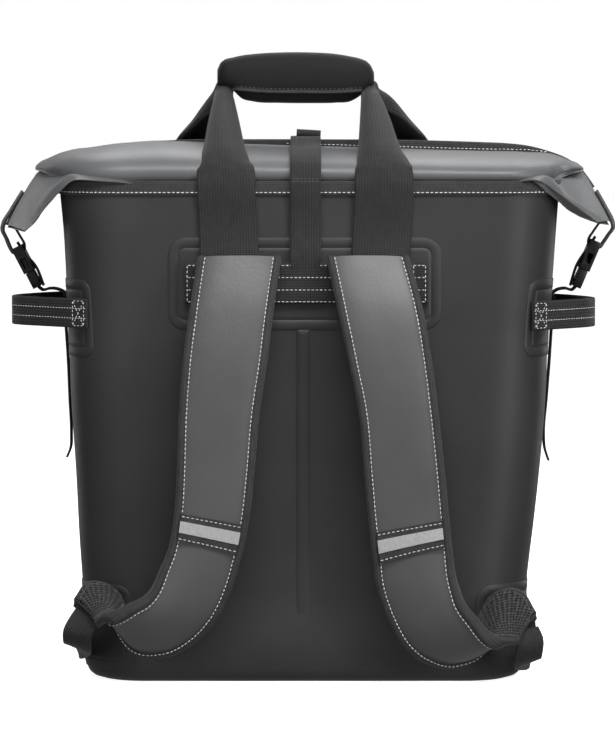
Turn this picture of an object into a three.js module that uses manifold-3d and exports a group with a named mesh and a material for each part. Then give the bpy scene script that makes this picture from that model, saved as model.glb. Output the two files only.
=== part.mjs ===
import * as THREE from 'three';
import { mergeVertices } from 'three/addons/utils/BufferGeometryUtils.js';
import Module from 'manifold-3d';

const wasm = await Module();
wasm.setup();

// Driving sizes in millimetres
const BODY_WIDTH = 429;
const BODY_DEPTH = 230;
const RIM_HEIGHT = 424;
const WALL = 20;
const CORNER_RADIUS = 50;
const CLOTH = 3;
const GAP = 0.3;
const NARROW_WEBBING = 25;
const WEB_THICK = 2.5;
const PAD_THICK = 10;
const BINDING_SHARE = 0.095;
const PATCH_THICK = 1.2;
const BUCKLE_WIDTH = 27;
const BUCKLE_THICK = 10;

const HALF_WIDTH = BODY_WIDTH / 2;
const HALF_DEPTH = BODY_DEPTH / 2;
const BACK = -HALF_DEPTH;

// The tables below give millimetres on a body of this size, and fit() carries them to the real one
const TABLE = { half: 214.5, deep: 115, rim: 424, radius: 50 };

// Colours of the materials
const FABRIC = 0x3f3f42;
const HOOD_FABRIC = 0x77797c;
const WEBBING = 0x2a2a2c;
const PAD_FABRIC = 0x55565a;
const REFLECTIVE = 0xaaadb0;
const PLASTIC = 0x1d1d1f;
const MESH_FABRIC = 0x242426;

// Body sections: height share of the rim, half width share, half depth share,
// corner radius share, sideways shift share
const BODY_ROWS = [
  [0.000, 0.820, 0.900, 0.80, 0.0023],
  [0.010, 0.862, 0.962, 0.92, 0.0023],
  [0.034, 0.881, 1.000, 1.00, 0.0023],
  [0.184, 0.893, 1.000, 1.00, 0.0023],
  [0.321, 0.916, 1.000, 1.00, 0.0093],
  [0.450, 0.935, 1.000, 1.00, 0.0140],
  [0.580, 0.953, 1.000, 1.00, 0.0177],
  [0.715, 0.963, 1.000, 1.00, 0.0186],
  [0.804, 0.975, 1.000, 1.00, 0.0214],
  [0.906, 0.985, 1.000, 1.00, 0.0228],
  [1.000, 1.000, 1.000, 1.00, 0.0219],
];

const part = new THREE.Group();
const vec = (x, y, z) => new THREE.Vector3(x, y, z);
const mix = (a, b, t) => a + (b - a) * t;

function signedVolume(points, faces) {
  let total = 0;
  for (const [a, b, c] of faces) {
    total += points[a].dot(points[b].clone().cross(points[c]));
  }
  return total / 6;
}

function closedGeometry(points, faces) {
  const flip = signedVolume(points, faces) < 0;
  const index = faces.flatMap(([a, b, c]) => (flip ? [a, c, b] : [a, b, c]));
  const geometry = new THREE.BufferGeometry();
  const flat = new Float32Array(points.flatMap((p) => [p.x, p.y, p.z]));
  geometry.setAttribute('position', new THREE.BufferAttribute(flat, 3));
  geometry.setIndex(index);
  return geometry;
}

function capFaces(ring, offset) {
  const centre = ring.reduce((sum, p) => sum.add(p), vec(0, 0, 0));
  centre.divideScalar(ring.length);
  const normal = vec(0, 0, 0);
  ring.forEach((p, i) => {
    const next = ring[(i + 1) % ring.length];
    normal.add(p.clone().sub(centre).cross(next.clone().sub(centre)));
  });
  normal.normalize();
  const side = ring[0].clone().sub(centre);
  side.addScaledVector(normal, -side.dot(normal)).normalize();
  const up = normal.clone().cross(side);
  const flat = ring.map((p) => {
    const arm = p.clone().sub(centre);
    return new THREE.Vector2(arm.dot(side), arm.dot(up));
  });
  const faces = THREE.ShapeUtils.triangulateShape(flat, []);
  return faces.map((face) => face.map((i) => i + offset));
}

// Joins rings of equal count into one closed body, capped or joined end to end
function loft(rings, endless = false) {
  const count = rings[0].length;
  const points = rings.flat();
  const faces = [];
  const bands = endless ? rings.length : rings.length - 1;
  for (let r = 0; r < bands; r += 1) {
    const low = r * count;
    const high = ((r + 1) % rings.length) * count;
    for (let i = 0; i < count; i += 1) {
      const j = (i + 1) % count;
      faces.push([low + i, low + j, high + j]);
      faces.push([low + i, high + j, high + i]);
    }
  }
  if (!endless) {
    const first = capFaces(rings[0], 0);
    const last = capFaces(rings[rings.length - 1], (rings.length - 1) * count);
    first.forEach(([a, b, c]) => faces.push([a, c, b]));
    last.forEach((face) => faces.push(face));
  }
  return closedGeometry(points, faces);
}

// A sheet between two grids of points, closed round its edge, with the same split on both faces
function slab(outer, inner) {
  const rows = outer.length;
  const columns = outer[0].length;
  const under = rows * columns;
  const at = (r, c) => r * columns + c;
  const faces = [];
  for (let r = 0; r < rows - 1; r += 1) {
    for (let c = 0; c < columns - 1; c += 1) {
      const [low, side, far, up] = [at(r, c), at(r, c + 1), at(r + 1, c + 1), at(r + 1, c)];
      faces.push([low, side, far], [low, far, up]);
      faces.push([under + low, under + far, under + side], [under + low, under + up, under + far]);
    }
  }
  const rim = [];
  for (let c = 0; c < columns; c += 1) {
    rim.push(at(0, c));
  }
  for (let r = 1; r < rows; r += 1) {
    rim.push(at(r, columns - 1));
  }
  for (let c = columns - 2; c >= 0; c -= 1) {
    rim.push(at(rows - 1, c));
  }
  for (let r = rows - 2; r > 0; r -= 1) {
    rim.push(at(r, 0));
  }
  rim.forEach((from, i) => {
    const to = rim[(i + 1) % rim.length];
    faces.push([to, from, under + from], [to, under + from, under + to]);
  });
  return closedGeometry([...outer.flat(), ...inner.flat()], faces);
}

function toManifold(geometry) {
  const bare = geometry.clone();
  bare.deleteAttribute('normal');
  bare.deleteAttribute('uv');
  const merged = mergeVertices(bare, 1e-4);
  return new wasm.Manifold(new wasm.Mesh({
    numProp: 3,
    vertProperties: new Float32Array(merged.attributes.position.array),
    triVerts: new Uint32Array(merged.index.array),
  }));
}

function fromManifold(solid) {
  const mesh = solid.getMesh();
  const geometry = new THREE.BufferGeometry();
  const array = new Float32Array(mesh.vertProperties);
  geometry.setAttribute('position', new THREE.BufferAttribute(array, 3));
  geometry.setIndex([...mesh.triVerts]);
  return geometry;
}

function union(geometries) {
  const solids = geometries.map(toManifold);
  return fromManifold(solids.reduce((sum, solid) => sum.add(solid)));
}

function subtract(base, tools) {
  return fromManifold(tools.map(toManifold).reduce((sum, solid) => sum.subtract(solid), toManifold(base)));
}

function addPiece(name, geometry, colour, roughness = 0.8) {
  const material = new THREE.MeshStandardMaterial({ color: colour, roughness, metalness: 0 });
  const mesh = new THREE.Mesh(geometry, material);
  mesh.name = name;
  part.add(mesh);
}

// A flat strap: each row has its centre, the direction of its width, its width and thickness
function ribbon(rows) {
  const centres = rows.map((row) => (row.along || row.fitted ? vec(...row.at) : fit(...row.at)));
  const sections = rows.map((row, i) => {
    const before = centres[Math.max(i - 1, 0)];
    const after = centres[Math.min(i + 1, centres.length - 1)];
    const along = row.along ?? after.clone().sub(before).normalize();
    const across = vec(row.across[0], row.across[1], row.across[2]);
    if (!row.along) {
      across.addScaledVector(along, -across.dot(along));
    }
    across.normalize();
    const out = along.clone().cross(across).normalize();
    const w = row.width / 2;
    const t = row.thick / 2;
    return [t, -t].map((v) => [-w, w].map((u) => (
      centres[i].clone().addScaledVector(across, u).addScaledVector(out, v)
    )));
  });
  return slab(sections.map((section) => section[0]), sections.map((section) => section[1]));
}

// Adds rows between the rows of a table along a smooth curve
function smoothRows(rows, steps) {
  const curve = new THREE.CatmullRomCurve3(rows.map((row) => vec(row[0], row[1], row[2])));
  const total = (rows.length - 1) * steps;
  return Array.from({ length: total + 1 }, (_, i) => {
    const low = Math.min(Math.floor(i / steps), rows.length - 2);
    const t = i / steps - low;
    const rest = rows[low].slice(3).map((value, k) => mix(value, rows[low + 1][k + 3], t));
    return [...curve.getPoint(i / total).toArray(), ...rest];
  });
}

// Sizes of a body at one share of its height
function sectionAt(share, half, deep, corner) {
  const at = THREE.MathUtils.clamp(share, 0, 1);
  let row = 0;
  while (row < BODY_ROWS.length - 2 && BODY_ROWS[row + 1][0] < at) {
    row += 1;
  }
  const low = BODY_ROWS[row];
  const high = BODY_ROWS[row + 1];
  const t = (at - low[0]) / (high[0] - low[0]);
  return {
    half: mix(low[1], high[1], t) * half,
    deep: mix(low[2], high[2], t) * deep,
    radius: mix(low[3], high[3], t) * corner,
    shift: mix(low[4], high[4], t) * half,
  };
}

const bodyAt = (z) => sectionAt(z / RIM_HEIGHT, HALF_WIDTH, HALF_DEPTH, CORNER_RADIUS);

// Stretches the flat stretch of a wall and moves the corner and what lies outside it
function carry(value, flat, realFlat, reach, realReach) {
  const size = Math.abs(value);
  const moved = size < flat ? size * realFlat / flat : size + realReach - reach;
  return Math.sign(value) * moved;
}

const fitHeight = (z) => (z < TABLE.rim ? z * RIM_HEIGHT / TABLE.rim : z + RIM_HEIGHT - TABLE.rim);

// Carries a point of a table to the real body
function fit(x, y, z) {
  const share = z / TABLE.rim;
  const from = sectionAt(share, TABLE.half, TABLE.deep, TABLE.radius);
  const to = sectionAt(share, HALF_WIDTH, HALF_DEPTH, CORNER_RADIUS);
  const flatX = from.half - TABLE.radius;
  const side = carry(x - from.shift, flatX, to.half - CORNER_RADIUS, from.half, to.half);
  const flatY = TABLE.deep - TABLE.radius;
  const depth = carry(y, flatY, HALF_DEPTH - CORNER_RADIUS, TABLE.deep, HALF_DEPTH);
  return vec(to.shift + side, depth, fitHeight(z));
}

// Points round the plan of the body: place 0 to 1 runs over half the back, 1 to 2 round the
// corner, 2 to 3 over half the side; hand is -1 on the left and 1 on the right
function wallPoint(hand, place, z, off) {
  const { half, deep, radius, shift } = bodyAt(z);
  if (place <= 1) {
    return vec(shift + hand * (half - radius) * place, -deep - off, z);
  }
  if (place <= 2) {
    const angle = (place - 1) * Math.PI / 2;
    const arm = radius + off;
    const x = half - radius + arm * Math.sin(angle);
    return vec(shift + hand * x, -(deep - radius) - arm * Math.cos(angle), z);
  }
  return vec(shift + hand * (half + off), -(deep - radius) * (3 - place), z);
}

const CORNER_STEPS = [1, 1.2, 1.4, 1.6, 1.8, 2];
const PLAN_PLACES = [0.35, 0.7, ...CORNER_STEPS];

function planRing(z, off) {
  const back = [0, ...PLAN_PLACES].map((place) => wallPoint(1, place, z, off));
  const middle = wallPoint(1, 3, z, off);
  const front = [...PLAN_PLACES].reverse().map((place) => wallPoint(1, place, z, off));
  front.push(wallPoint(1, 0, z, off));
  front.forEach((p) => { p.y = -p.y; });
  const left = PLAN_PLACES.map((place) => wallPoint(-1, place, z, off));
  left.forEach((p) => { p.y = -p.y; });
  const leftMiddle = wallPoint(-1, 3, z, off);
  const leftBack = [...PLAN_PLACES].reverse().map((place) => wallPoint(-1, place, z, off));
  return [...back, middle, ...front, ...left, leftMiddle, ...leftBack];
}

function buildBody() {
  const outer = BODY_ROWS.map((row) => planRing(row[0] * RIM_HEIGHT, 0));
  const heights = [1, 0.804, 0.45, 0.184, 0.058];
  const inner = heights.map((share) => planRing(share * RIM_HEIGHT, -WALL));
  addPiece('insulated_body', loft([...outer, ...inner]), FABRIC);
}

// Tape round the rim
const RIM_TAPE_LOW = RIM_HEIGHT - 7.5;
const RIM_TAPE_HIGH = RIM_HEIGHT + 4.5;
const RIM_TAPE_THICK = 2;

function buildRimBinding() {
  const corners = [
    [RIM_TAPE_LOW, GAP],
    [RIM_TAPE_LOW, GAP + RIM_TAPE_THICK],
    [RIM_TAPE_HIGH, GAP + RIM_TAPE_THICK],
    [RIM_TAPE_HIGH, GAP],
  ];
  const rings = corners.map(([z, off]) => {
    const ring = planRing(RIM_HEIGHT, off);
    ring.forEach((p) => { p.z = z; });
    return ring;
  });
  addPiece('rim_binding', loft(rings, true), WEBBING);
}

// Ridge of the hood: sideways place, height of the ridge
const RIDGE = [
  [-230, 437], [-225, 443], [-211, 450], [-186, 453], [-126, 456], [-47, 457], [14, 455.5],
  [88, 453.6], [154, 451.5], [200, 450], [217, 448.3], [235, 442], [241, 437],
];
// Arch of the hood: share of the half depth, share of the rise
const ARCH = [
  [1, 0], [0.99, 0.3], [0.955, 0.55], [0.86, 0.75], [0.66, 0.88], [0.35, 0.97], [0, 1],
];
const HOOD_BASE = RIM_HEIGHT + GAP;

const ridgeLine = RIDGE.map(([x, z]) => fit(x, 0, z));

function ridgeHeight(x) {
  let i = 0;
  while (i < ridgeLine.length - 2 && ridgeLine[i + 1].x < x) {
    i += 1;
  }
  const low = ridgeLine[i];
  const high = ridgeLine[i + 1];
  const t = THREE.MathUtils.clamp((x - low.x) / (high.x - low.x), 0, 1);
  return mix(low.z, high.z, t);
}

function archRing(x, deep, base, top, dip) {
  const near = ARCH.map(([share, rise]) => vec(x, -share * deep, base + 2 + rise * (top - base - 2)));
  const far = ARCH.slice(0, -1).reverse().map(([share, rise]) => (
    vec(x, share * deep, base + 2 + rise * (top - base - 2))
  ));
  return [vec(x, -deep, base - dip), ...near, ...far, vec(x, deep, base - dip)];
}

// Stations of the hood from left to right, following the corners of the rim
function hoodStations(inset) {
  const { half, deep, radius, shift } = bodyAt(RIM_HEIGHT);
  const arm = radius - inset;
  const corner = [90, 67.5, 45, 22.5, 0].map((degree) => {
    const angle = THREE.MathUtils.degToRad(degree);
    return [half - radius + arm * Math.sin(angle), deep - radius + arm * Math.cos(angle)];
  });
  const left = corner.map(([x, y]) => [shift - x, y]);
  const right = [...corner].reverse().map(([x, y]) => [shift + x, y]);
  const middle = [-105, -47, 14, 76, 120].map((x) => [fit(x, 0, TABLE.rim).x, deep - inset]);
  return [...left, ...middle, ...right];
}

// Ends of the hood beyond the rim: x, half depth, underside and top
const HOOD_ENDS = [
  [-222, 54, 431, 445], [-229, 40, 434, 439], [229, 54, 431, 443.5], [239, 40, 433, 438.5],
];

function buildHoodShell() {
  const rings = hoodStations(0).map(([x, deep]) => archRing(x, deep, HOOD_BASE, ridgeHeight(x), 0));
  const ends = HOOD_ENDS.map(([x, deep, base, top]) => {
    const low = fit(x, deep, base);
    return archRing(low.x, low.y, low.z, fitHeight(top), 0);
  });
  return loft([ends[1], ends[0], ...rings, ends[2], ends[3]]);
}

// Fold-down ends: ridge x and z, edge x, edge y and edge z, thickness
const LEFT_FOLD = [
  [-150, 436, -146, 116, 430.5, 4],
  [-178, 440, -178, 112, 432.5, 6],
  [-206, 443, -197, 107, 432, 6],
  [-229, 436, -211, 100, 426, 6],
  [-245, 414, -222, 90, 410, 8],
  [-256, 396, -232, 80, 395, 7],
  [-261, 387, -241, 73, 384, 6],
];
const RIGHT_FOLD = [
  [165, 436, 150, 116, 430.5, 4],
  [190, 440, 180, 114, 433, 6],
  [215, 442, 206, 107, 433, 6],
  [241, 433, 221, 99, 427, 6],
  [254, 416, 231, 90, 412, 8],
  [263, 400, 242, 82, 400, 7],
  [268, 389, 254, 74, 390, 6],
];

function foldRing([ridgeX, ridgeZ, edgeX, edgeY, edgeZ, thick], hand) {
  const ridge = fit(ridgeX, 0, ridgeZ);
  const edge = fit(edgeX, -edgeY, edgeZ);
  const top = [0, 0.25, 0.55, 0.82, 1].map((t) => {
    const p = ridge.clone().lerp(edge, t);
    const puff = 4 * t * (1 - t) * 3;
    return p.add(vec(hand * puff * 0.6, 0, puff * 0.8));
  });
  const under = top.map((p, i) => {
    const deep = i === 4 ? thick * 0.45 : thick;
    return p.clone().add(vec(-hand * deep * 0.6, i === 4 ? 1.5 : 0, -deep * 0.8));
  });
  const mirrored = (list) => list.slice(1).map((p) => vec(p.x, -p.y, p.z));
  return [
    ...[...top].reverse(),
    ...mirrored(top),
    ...mirrored(under).reverse(),
    ...under,
  ];
}

function buildHood() {
  const shell = buildHoodShell();
  const folds = [
    loft(LEFT_FOLD.map((row) => foldRing(row, -1))),
    loft(RIGHT_FOLD.map((row) => foldRing(row, 1))),
  ];
  const rings = hoodStations(CLOTH + 1).map(([x, deep]) => (
    archRing(x, deep, HOOD_BASE, ridgeHeight(x) - CLOTH - 1, 8)
  ));
  const hollow = loft(rings);
  const bodyRoom = [0.873, 0.906, 1].map((share) => planRing(share * RIM_HEIGHT, GAP));
  bodyRoom[2].forEach((p) => { p.z = HOOD_BASE - 0.01; });
  const roomLow = RIM_HEIGHT - 24;
  const roomHigh = RIM_TAPE_HIGH + GAP;
  const roomOff = RIM_TAPE_THICK + 3 * GAP;
  const room = [[roomLow, 0], [roomLow, roomOff], [roomHigh, roomOff], [roomHigh, 0]];
  const tapeRoom = room.map(([z, off]) => {
    const ring = planRing(RIM_HEIGHT, off);
    ring.forEach((p) => { p.z = z; });
    return ring;
  });
  const tools = [hollow, loft(bodyRoom), loft(tapeRoom, true)];
  addPiece('hood', subtract(union([shell, ...folds]), tools), HOOD_FABRIC, 0.5);
}

// Binding that stands along the closed mouth: place, height above the ridge
function buildMouthBinding() {
  const low = 0.5;
  const high = 6;
  const rings = ridgeLine.slice(1, -1).map(({ x, z }) => [
    vec(x, -2, z + low),
    vec(x, 2, z + low),
    vec(x, 2, z + high),
    vec(x, -2, z + high),
  ]);
  addPiece('mouth_binding', loft(rings), WEBBING);
}

// Welded patch on the outside of the body
function wallPatch(hand, places, heights, off, thick) {
  const grid = (offset) => places.map((place) => heights.map((z) => wallPoint(hand, place, z, offset)));
  return slab(grid(off + thick), grid(off));
}

const plateAt = (left, right, low, high) => ({
  left: fit(left, 0, low).x,
  right: fit(right, 0, low).x,
  low: fitHeight(low),
  high: fitHeight(high),
});
const YOKE = { ...plateAt(-115.6, 116.5, 302, 380.5), radius: 14 };
const BAR = { ...plateAt(-101, 105, 324.3, 359.5), thick: 5 };
const PATCH_FRONT = BACK - GAP - PATCH_THICK;

function roundedPlate(plate, y, thick) {
  const shape = new THREE.Shape();
  const { left, right, low, high, radius } = plate;
  shape.moveTo(left + radius, low);
  shape.lineTo(right - radius, low);
  shape.absarc(right - radius, low + radius, radius, -Math.PI / 2, 0, false);
  shape.lineTo(right, high - radius);
  shape.absarc(right - radius, high - radius, radius, 0, Math.PI / 2, false);
  shape.lineTo(left + radius, high);
  shape.absarc(left + radius, high - radius, radius, Math.PI / 2, Math.PI, false);
  shape.lineTo(left, low + radius);
  shape.absarc(left + radius, low + radius, radius, Math.PI, Math.PI * 1.5, false);
  const plateSolid = new THREE.ExtrudeGeometry(shape, { depth: thick, bevelEnabled: false, curveSegments: 5 });
  plateSolid.rotateX(Math.PI / 2);
  plateSolid.translate(0, y, 0);
  return plateSolid;
}

function buildBackPanel() {
  addPiece('back_yoke_patch', roundedPlate(YOKE, BACK - GAP, PATCH_THICK), FABRIC);
  const bar = new THREE.BoxGeometry(BAR.right - BAR.left, BAR.thick, BAR.high - BAR.low);
  const barY = PATCH_FRONT - GAP - BAR.thick / 2;
  bar.translate((BAR.left + BAR.right) / 2, barY, (BAR.low + BAR.high) / 2);
  addPiece('back_yoke_webbing', bar, WEBBING);
  const tapeTop = YOKE.low - GAP;
  const tapeLow = fitHeight(18);
  const tape = new THREE.BoxGeometry(11, 0.8, tapeTop - tapeLow);
  tape.translate(-0.5, BACK - GAP - 0.4, (tapeTop + tapeLow) / 2);
  addPiece('centre_seam_tape', tape, FABRIC);
}

// Centre strap: depth, height of its middle line from the yoke bar to the mouth
const CENTRE_PATH = [
  [-118.05, 360], [-118.2, 400], [-119.2, 413], [-119.2, 431], [-116.5, 441], [-108, 448],
  [-96, 453.4], [-74, 457.6], [-40, 461.8], [-3.8, 463.4],
];

function buildCentreStrap() {
  const rows = CENTRE_PATH.map(([y, z]) => ({
    at: [1.3, y, z],
    across: [1, 0, 0],
    width: 26.4,
    thick: 2.2,
  }));
  addPiece('centre_strap', ribbon(rows), WEBBING);
  const tab = [[-7.5, 464.9], [-7.5, 470.4], [4.6, 470.4], [4.6, 464.9]];
  const rings = [-8, 18].map((x) => tab.map(([y, z]) => fit(x, y, z)));
  addPiece('centre_strap_tab', loft(rings), WEBBING);
}

// Legs of the grab handle: side, depth, height, width, thickness
const BACK_LEGS = {
  left: [
    [-63.4, -118.05, 360.6, 50, 2.5],
    [-64.0, -118.20, 400, 50, 2.5],
    [-66.0, -119.30, 413, 48, 2.5],
    [-66.5, -119.60, 432, 47, 2.5],
    [-67.5, -112.00, 449, 43, 2.5],
    [-68.2, -90.00, 467, 34, 3.0],
    [-69.0, -60.00, 486, 25, 4.0],
    [-69.5, -30.00, 499, 17, 5.0],
    [-69.8, -5.00, 504.5, 14, 5.0],
  ],
  right: [
    [65.0, -118.05, 360.6, 50, 2.5],
    [66.0, -118.20, 400, 50, 2.5],
    [68.0, -119.30, 413, 48, 2.5],
    [68.0, -119.60, 432, 47, 2.5],
    [66.5, -112.00, 449, 43, 2.5],
    [64.0, -90.00, 467, 34, 3.0],
    [61.5, -60.00, 486, 25, 4.0],
    [58.8, -30.00, 499, 17, 5.0],
    [57.3, -5.00, 504.5, 13, 5.0],
  ],
};
const FRONT_LEGS = {
  left: [
    [-100, 116.80, 345, 50, 2.5],
    [-100, 116.80, 400, 50, 2.5],
    [-101, 119.30, 413, 50, 2.5],
    [-101, 119.60, 432, 49, 2.5],
    [-99.0, 110.00, 450, 46, 2.5],
    [-92.0, 68.00, 467, 40, 3.0],
    [-81.5, 37.00, 483, 30, 4.0],
    [-74.5, 17.00, 497, 19, 5.0],
    [-70.5, 5.00, 504.5, 14, 5.0],
  ],
  right: [
    [98, 116.80, 345, 50, 2.5],
    [98, 116.80, 400, 50, 2.5],
    [99, 119.30, 413, 50, 2.5],
    [99, 119.60, 432, 49, 2.5],
    [96.0, 110.00, 450, 46, 2.5],
    [88.0, 68.00, 467, 40, 3.0],
    [76.5, 37.00, 483, 30, 4.0],
    [67.0, 17.00, 497, 19, 5.0],
    [58.0, 5.00, 504.5, 13, 5.0],
  ],
};
// Grip sections: side, underside, top, half depth
const GRIP = [
  [-75.5, 507.8, 523.0, 7.0],
  [-71.0, 507.4, 529.0, 12.0],
  [-62.0, 507.0, 532.5, 14.0],
  [-55.0, 494.5, 534.0, 14.5],
  [-30.0, 493.2, 537.0, 15.0],
  [0.0, 493.0, 537.4, 15.0],
  [28.0, 493.2, 535.6, 15.0],
  [45.0, 494.5, 532.5, 14.5],
  [50.5, 507.0, 531.0, 14.0],
  [57.0, 507.4, 527.5, 12.0],
  [61.0, 507.8, 520.0, 7.0],
];

function legRibbon(rows) {
  return ribbon(rows.map(([x, y, z, width, thick]) => ({ at: [x, y, z], across: [1, 0, 0], width, thick })));
}

function gripRing([x, low, high, deep]) {
  const middle = fit(x, 0, (low + high) / 2);
  const tall = (high - low) / 2;
  const ring = [];
  for (let i = 0; i < 16; i += 1) {
    const angle = (i / 16) * Math.PI * 2 + Math.PI / 16;
    const sx = Math.sign(Math.cos(angle)) * Math.abs(Math.cos(angle)) ** 0.75;
    const sz = Math.sign(Math.sin(angle)) * Math.abs(Math.sin(angle)) ** 0.75;
    ring.push(vec(middle.x, sx * deep, middle.z + sz * tall));
  }
  return ring;
}

function buildHandle() {
  addPiece('handle_strap_back_left', legRibbon(BACK_LEGS.left), WEBBING);
  addPiece('handle_strap_back_right', legRibbon(BACK_LEGS.right), WEBBING);
  addPiece('handle_strap_front_left', legRibbon(FRONT_LEGS.left), WEBBING);
  addPiece('handle_strap_front_right', legRibbon(FRONT_LEGS.right), WEBBING);
  addPiece('handle_grip', loft(GRIP.map(gripRing)), WEBBING);
}

// Shoulder strap sections: outer edge x, y, z, inner edge x, y, z
const STRAPS = {
  left: [
    [-90, -128.4, 364, -19, -128.4, 364],
    [-97, -147, 316, -26, -147, 316],
    [-102, -158, 276, -31, -158, 276],
    [-105, -164, 236, -37, -164, 236],
    [-107, -168, 180, -42, -167, 181],
    [-109, -169, 150, -46, -167, 146],
    [-114, -171, 121, -53, -166, 113],
    [-121, -173, 104, -62, -163, 84],
    [-128, -175, 88, -75, -158, 59],
    [-135, -177, 80, -91, -151, 42],
    [-144, -178, 75, -114, -143, 29],
    [-154, -177, 68, -143, -132, 32],
    [-162, -175, 63, -156, -127, 55],
    [-165, -172, 61, -159, -126, 74],
    [-167, -169, 59, -170, -125, 84],
    [-168, -165, 57, -184, -128, 86],
    [-169, -160, 56, -195, -143, 74],
  ],
  right: [
    [89, -128.4, 364, 19, -128.4, 364],
    [101, -147, 318, 29, -147, 318],
    [108, -158, 276, 38, -158, 276],
    [113, -164, 236, 46, -164, 236],
    [119, -168, 180, 51, -167, 180],
    [122, -169, 147, 54, -167, 147],
    [125, -171, 118, 58, -166, 113],
    [127, -173, 101, 62, -163, 86],
    [130, -175, 89, 72, -158, 59],
    [135, -177, 75, 86, -151, 36],
    [144, -178, 63, 102, -143, 24],
    [152, -177, 52, 124, -132, 19],
    [159, -175, 44, 148, -127, 31],
    [164, -172, 40, 153, -126, 59],
    [168, -169, 39, 166, -125, 78],
    [172, -165, 39, 184, -128, 80],
    [176, -160, 39, 197, -143, 63],
  ],
};

function strapFrame(rows, hand) {
  const outer = rows.map((row) => fit(row[0], row[1], row[2]));
  const inner = rows.map((row) => fit(row[3], row[4], row[5]));
  const middle = outer.map((p, i) => p.clone().lerp(inner[i], 0.5));
  const along = middle.map((p, i) => {
    const before = middle[Math.max(i - 1, 0)];
    const after = middle[Math.min(i + 1, middle.length - 1)];
    return after.clone().sub(before).normalize();
  });
  const face = outer.map((p, i) => {
    const across = inner[i].clone().sub(p).normalize();
    return along[i].clone().cross(across).normalize().multiplyScalar(-hand);
  });
  return { outer, inner, along, face, last: rows.length - 1 };
}

// A point of the strap: section number, share across from the outer edge, distance off its middle
function strapPoint(frame, section, share, off) {
  const low = Math.min(Math.floor(section), frame.last - 1);
  const t = Math.min(section, frame.last) - low;
  const outer = frame.outer[low].clone().lerp(frame.outer[low + 1], t);
  const inner = frame.inner[low].clone().lerp(frame.inner[low + 1], t);
  const face = frame.face[low].clone().lerp(frame.face[low + 1], t).normalize();
  const beyond = Math.max(section - frame.last, 0) * 6;
  const p = outer.lerp(inner, share).addScaledVector(face, off);
  return p.addScaledVector(frame.along[frame.last], beyond);
}

function strapSlab(frame, sections, shares, low, high) {
  const grid = (off) => sections.map((s) => shares.map((share) => strapPoint(frame, s, share, off)));
  return slab(grid(high), grid(low));
}

// Pad section: share across, distance off the middle, round at both edges
const PAD_SECTION = [
  [0.122, 2.2], [0.22, 4.6], [0.5, 5.4], [0.78, 4.6], [0.878, 2.2],
  [0.878, -3.4], [0.5, -4.6], [0.122, -3.4],
];

function buildStrap(side) {
  const hand = side === 'left' ? -1 : 1;
  const frame = strapFrame(STRAPS[side], hand);
  const steps = STRAPS[side].map((row, i) => (i > 8 && i < frame.last ? [0, 1 / 3, 2 / 3] : [0]));
  const all = steps.flatMap((list, i) => list.map((step) => i + step));
  const inside = [...all.slice(0, -1), frame.last - 0.05];
  const pad = inside.map((s) => PAD_SECTION.map(([share, off]) => strapPoint(frame, s, share, off)));
  addPiece(`shoulder_pad_${side}`, loft(pad), PAD_FABRIC, 0.6);
  addPiece(`shoulder_mesh_${side}`, strapSlab(frame, inside, [0.122, 0.5, 0.878], -6, -4.9), MESH_FABRIC);
  const edge = [...all, frame.last + 1];
  const loops = [
    strapSlab(frame, edge, [0, BINDING_SHARE], -PAD_THICK * 0.6, PAD_THICK * 0.56),
    strapSlab(frame, edge, [1 - BINDING_SHARE, 1], -PAD_THICK * 0.6, PAD_THICK * 0.56),
    strapSlab(frame, [frame.last, frame.last + 1], [0.02, 0.5, 0.98], -5, 4.6),
  ];
  addPiece(`shoulder_binding_${side}`, union(loops), WEBBING);
  const top = side === 'left' ? 4.9 : 5.2;
  const band = [top, top + 0.4, top + 0.8];
  addPiece(`reflector_band_${side}`, strapSlab(frame, band, [0.11, 0.3, 0.5, 0.7, 0.89], 5.8, 6.6), WEBBING);
  const strip = [top + 0.22, top + 0.54];
  addPiece(`reflector_strip_${side}`, strapSlab(frame, strip, [0.11, 0.3, 0.5, 0.7, 0.89], 7, 7.6), REFLECTIVE, 0.4);
}

// Lower webbing: centre x, y, z, width direction x, y, z
const LOWER_WEBBING = {
  left: [
    [-191.5, -156.5, 50.0, -0.92, 0.20, 0.20],
    [-193.3, -146.0, 41.0, -1.00, 0.00, 0.00],
    [-194.0, -129.0, 32.5, -1.00, 0.00, 0.00],
    [-194.2, -112.0, 27.0, -0.90, 0.00, 0.40],
    [-194.0, -98.0, 25.0, -0.40, 0.00, 0.90],
    [-193.2, -84.0, 24.0, 0.00, 0.00, 1.00],
    [-192.7, -64.0, 24.0, 0.00, 0.00, 1.00],
    [-192.7, -44.0, 24.0, 0.00, 0.00, 1.00],
  ],
  right: [
    [196.0, -156.5, 35.5, 0.90, 0.30, 0.30],
    [193.0, -143.0, 28.5, 1.00, 0.00, 0.00],
    [193.0, -127.0, 22.5, 1.00, 0.00, 0.00],
    [193.4, -112.0, 19.5, 0.90, 0.00, 0.40],
    [193.8, -98.0, 18.5, 0.40, 0.00, 0.90],
    [193.7, -84.0, 18.0, 0.00, 0.00, 1.00],
    [193.5, -64.0, 18.0, 0.00, 0.00, 1.00],
    [193.5, -44.0, 18.0, 0.00, 0.00, 1.00],
  ],
};

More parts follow.
